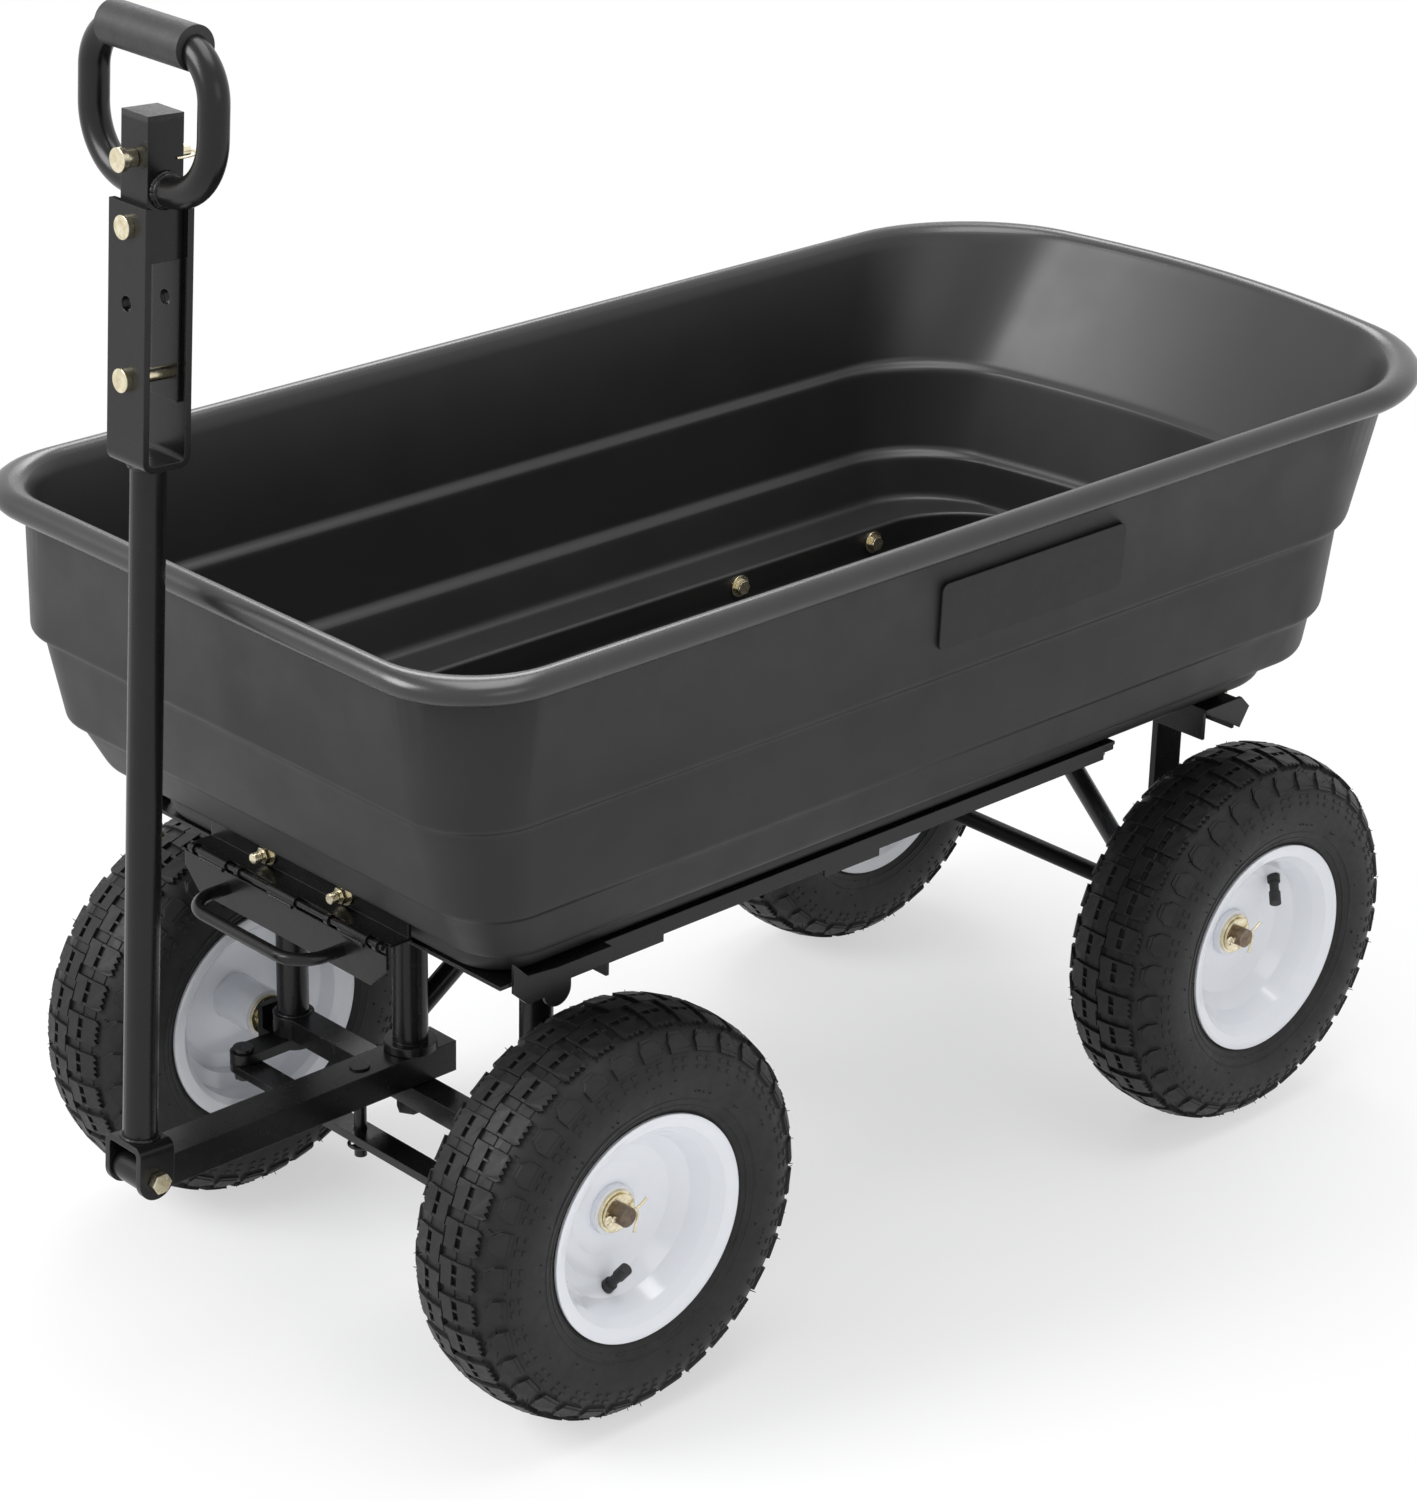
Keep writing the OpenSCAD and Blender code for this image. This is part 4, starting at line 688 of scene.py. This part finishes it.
# split pins: an eye ahead of each axle end, two bent legs behind it, in millimetres
PIN_Y, PIN_HALF = 247.4, 13.0
WIRE, WIRE_SIDES = 1.1, 8
EYE_AHEAD, EYE_R, EYE_STEPS = 1.5, 3.4, 20
UP_LEG = [(-12, 0, 0.8), (-15, 0.4, 1.6), (-18.5, 1.0, 3.8), (-22.5, 1.4, 7.2)]
DOWN_LEG = [(-12, 0, -0.8), (-14.2, 0.4, -2.2), (-13.2, 1.2, -7.5), (-9.5, 1.6, -18)]


def split_pin(w, body):
    c = wheel[w] / MM
    out = math.copysign(1, c.y)

    def near(x, y, z):
        return Vector((c.x + x, out * (PIN_Y + y), c.z + z)) * MM

    eye = circle(near(PIN_HALF + EYE_AHEAD, 0, 0), X, Z, EYE_R * MM, EYE_STEPS)
    bm = bmesh.new()
    tube(bm, eye[:-1], lambda s: WIRE * MM, WIRE_SIDES, closed=True)
    for leg in (UP_LEG, DOWN_LEG):
        tube(bm, [near(*p) for p in smooth_line(leg)], lambda s: WIRE * MM, WIRE_SIDES)
    make_bar("split_pin_ends_" + w, bm, "yellow_zinc", body)


for w, body in (("fl", "knuckle_left"), ("fr", "knuckle_right"), ("rl", "chassis"), ("rr", "chassis")):
    split_pin(w, body)

# handle welds and the hitch pin's clip, in millimetres along the leaned handle from its pivot
LEAN = math.radians(3.1)
pivot = middle("pivot_bolt")
FOOT_Z, CLEVIS_Z, RING_Z, HITCH_Z = 29.4, 551.0, 749.0, 770.0
TUBE_WELD_R, TUBE_WELD, HEAD_WELD_DROP = 13.3, 2.0, 0.6
# layers of the weld at each foot of the ring: name, side position, radius, bead size
RING_WELDS = (("root", 15.6, 11.2, 2.6), ("cap", 18.0, 10.6, 2.0))
# left half of the clip's wire as (x, y), from the back of the bend to its end
CLIP_HALF = [(-31.2, 0), (-31.0, 6), (-27, 12.5), (-17, 15.9), (-9, 15.6)]
CLIP_WIRE = 0.9


def on_handle(x, y, z):
    lean = Vector((x * math.cos(LEAN) - z * math.sin(LEAN), y, x * math.sin(LEAN) + z * math.cos(LEAN)))
    return Vector((pivot.x, 0, pivot.z)) + lean * MM


def handle_ring(centre, first, second, radius):
    return [on_handle(*p) for p in circle(centre, first, second, radius)]


def build_hitch_clip():
    """A wire bail on the grip column that closes behind the tip of the hitch pin."""
    line = smooth_line([(x, -y) for x, y in reversed(CLIP_HALF)] + CLIP_HALF[1:])
    bm = bmesh.new()
    tube(bm, [on_handle(x, y, HITCH_Z) for x, y in line], lambda s: CLIP_WIRE * MM, WIRE_SIDES)
    make_bar("hitch_clip", bm, "yellow_zinc", "handle")


for word, z in (("foot", FOOT_Z), ("head", CLEVIS_Z - HEAD_WELD_DROP)):
    weld("weld_tube_" + word, handle_ring((0, 0, z), X, Y, TUBE_WELD_R), TUBE_WELD * MM, "handle")
for side, word in SIDES:
    for layer, y, radius, size in RING_WELDS:
        ring = handle_ring((0, side * y, RING_Z), X, Z, radius)
        weld("weld_ring_%s_%s" % (word, layer), ring, size * MM, "handle")
build_hitch_clip()

# threads on the studs of the bracket bolts
bolt_low, bolt_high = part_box("bracket_bolts")
bolt_z = (bolt_low.z + bolt_high.z) / 2
BOLT_Y = 46.0 * MM
THREAD, STUD_R, THREAD_R = 1.25 * MM, 4.0 * MM, 0.42 * MM
THREAD_BACK = 0.8 * MM
THREAD_TURNS, THREAD_STEPS, THREAD_SIDES = 5, 16, 6


def on_thread(t, bolt_y):
    """A point of the thread, some turn in radians back from the stud's end."""
    x = bolt_high.x - THREAD_BACK - THREAD * t / (2 * math.pi)
    return Vector((x, bolt_y + STUD_R * math.cos(t), bolt_z + STUD_R * math.sin(t)))


for side, word in SIDES:
    bm = bmesh.new()
    turns = [2 * math.pi * k / THREAD_STEPS for k in range(THREAD_STEPS * THREAD_TURNS)]
    tube(bm, [on_thread(t, side * BOLT_Y) for t in turns], lambda s: THREAD_R, THREAD_SIDES)
    make_bar("stud_thread_" + word, bm, "yellow_zinc", "tub")

# welds along the latch's knuckles, ahead of and below the rod by shares of a knuckle's radius
rod = middle("latch_rod")
KNUCKLE_Y, KNUCKLE_R = 84.0 * MM, 4.5 * MM
LATCH_AHEAD_SHARE, LATCH_BELOW_SHARE = 0.8, 0.75
LATCH_WELD, LATCH_WELD_HALF = 1.9 * MM, 14 * MM
for knuckle_y, word in ((-KNUCKLE_Y, "right"), (0, "middle"), (KNUCKLE_Y, "left")):
    weld_x, weld_z = rod.x + KNUCKLE_R * LATCH_AHEAD_SHARE, rod.z - KNUCKLE_R * LATCH_BELOW_SHARE
    line = [Vector((weld_x, knuckle_y + along, weld_z)) for along in (-LATCH_WELD_HALF, 0, LATCH_WELD_HALF)]
    weld("weld_latch_" + word, line, LATCH_WELD, "latch")

# welds round the feet of the front posts, on the axle beam
post_low, post_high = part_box("front_posts")
post_x = (post_low.x + post_high.x) / 2
beam_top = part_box("front_beam")[1].z
POST_R, POST_WELD, POST_WELD_OUT = 13.0 * MM, 1.8 * MM, 0.4 * MM
for side, word in SIDES:
    foot = Vector((post_x, side * (post_high.y - POST_R), beam_top + POST_WELD_OUT))
    weld("weld_post_" + word, circle(foot, X, Y, POST_R + POST_WELD_OUT), POST_WELD, "chassis")

# camera, fitted to the photograph: place in millimetres, angles in degrees
PHOTO_HEIGHT, FOCAL_PIXELS, SENSOR = 1500.0, 4235.953, 36.0
CAMERA_PLACE = at(2224.38, 2267.13, 1762.06)
CAMERA_HEADING, CAMERA_TILT, CAMERA_ROLL = 136.08054, 66.14838, 1.34004
CAMERA_REACH = 100.0


def turn_about(axis, degrees):
    return Matrix.Rotation(math.radians(degrees), 4, axis)


lens = bpy.data.cameras.new("camera")
lens.sensor_fit = "VERTICAL"
lens.sensor_width = lens.sensor_height = SENSOR
lens.lens = FOCAL_PIXELS / PHOTO_HEIGHT * SENSOR
lens.clip_end = CAMERA_REACH
camera = bpy.data.objects.new("camera", lens)
scene.collection.objects.link(camera)
camera_turn = turn_about("Z", CAMERA_HEADING) @ turn_about("X", CAMERA_TILT) @ turn_about("Z", CAMERA_ROLL)
camera.matrix_world = Matrix.Translation(CAMERA_PLACE) @ camera_turn
scene.camera = camera

# floor, lights and world, in metres
FLOOR_R, FLOOR_SEGMENTS, FLOOR_DROP = 30.0, 96, 0.2 * MM
FLOOR_TONES = ((0.93, 0.93, 0.935), (0.96, 0.96, 0.96))
FLOOR_MOTTLE, FLOOR_DETAIL, FLOOR_ROUGHNESS, FLOOR_SPEC = 3.0, 4, 0.85, 0.1
# distances where the floor's fade to white begins and ends, and the share of white before it
FADE_FROM, FADE_TO, WHITE_LEAST_SHARE = 0.35, 0.9, 0.55
# strengths of the world's light and of the white that is seen directly
WORLD_LIGHT, WHITE = 0.5, 1.0


def seen_directly(tree):
    """One for camera, glossy and transmission rays, which see the white background."""
    rays = tree.nodes.new("ShaderNodeLightPath").outputs
    mirror = math_node(tree, "MAXIMUM", rays["Is Glossy Ray"], rays["Is Transmission Ray"])
    return math_node(tree, "MAXIMUM", rays["Is Camera Ray"], mirror)


def floor_material():
    """Pale studio floor that fades into the white background away from the object."""
    material = bpy.data.materials.new("studio_floor")
    material.use_nodes = True
    tree = material.node_tree
    shader = tree.nodes["Principled BSDF"]
    shader.inputs["Roughness"].default_value = FLOOR_ROUGHNESS
    shader.inputs["Specular IOR Level"].default_value = FLOOR_SPEC
    where = tree.nodes.new("ShaderNodeTexCoord").outputs["Object"]
    ramp = shader_node(tree, "ValToRGB", Fac=noise(tree, where, FLOOR_MOTTLE, FLOOR_DETAIL))
    for stop, tone in zip(ramp.color_ramp.elements, FLOOR_TONES):
        stop.color = (*tone, 1)
    tree.links.new(ramp.outputs["Color"], shader.inputs["Base Color"])
    away = vector_math(tree, "LENGTH", where)
    fade = shader_node(tree, "MapRange", Value=away, From_Min=FADE_FROM, From_Max=FADE_TO,
                       To_Min=WHITE_LEAST_SHARE)
    fade.interpolation_type = "SMOOTHSTEP"
    share = math_node(tree, "MULTIPLY", seen_directly(tree), fade.outputs["Result"])
    white = shader_node(tree, "Emission", Strength=WHITE)
    blend = tree.nodes.new("ShaderNodeMixShader")
    for socket, output in zip(blend.inputs, (share, shader.outputs["BSDF"], white.outputs["Emission"])):
        tree.links.new(output, socket)
    tree.links.new(blend.outputs["Shader"], tree.nodes["Material Output"].inputs["Surface"])
    return material


def softbox(name, place, aim, size, watts):
    """A soft rectangular lamp that the camera doesn't see."""
    data = bpy.data.lights.new(name, "AREA")
    data.shape = "RECTANGLE"
    data.size, data.size_y = size
    data.energy = watts
    lamp = bpy.data.objects.new(name, data)
    scene.collection.objects.link(lamp)
    lamp.location = place
    lamp.rotation_euler = (Vector(aim) - Vector(place)).to_track_quat("-Z", "Y").to_euler()
    lamp.visible_camera = False


bm = bmesh.new()
bmesh.ops.create_circle(bm, cap_ends=True, segments=FLOOR_SEGMENTS, radius=FLOOR_R)
floor = make("floor", bm, [floor_material()])
floor.location.z = -FLOOR_DROP

world = bpy.data.worlds.new("studio")
scene.world = world
world.use_nodes = True
sky = world.node_tree.nodes["Background"]
sky.inputs["Color"].default_value = (1, 1, 1, 1)
level = shader_node(world.node_tree, "MapRange", Value=seen_directly(world.node_tree), To_Min=WORLD_LIGHT,
                    To_Max=WHITE)
world.node_tree.links.new(level.outputs["Result"], sky.inputs["Strength"])

softbox("key", place=(2.9, -1.2, 2.4), aim=(0.1, 0, 0.45), size=(1.7, 1.7), watts=95)
softbox("top", place=(-0.2, 0.1, 3.5), aim=(0, 0, 0.3), size=(2.6, 1.8), watts=66)
softbox("back", place=(-1.9, -2.5, 3.0), aim=(-0.2, 0, 0.5), size=(1.5, 1.1), watts=34)
softbox("side", place=(0.6, 3.4, 1.9), aim=(0, 0, 0.4), size=(2.0, 1.4), watts=11)
scene.view_settings.view_transform = "Standard"
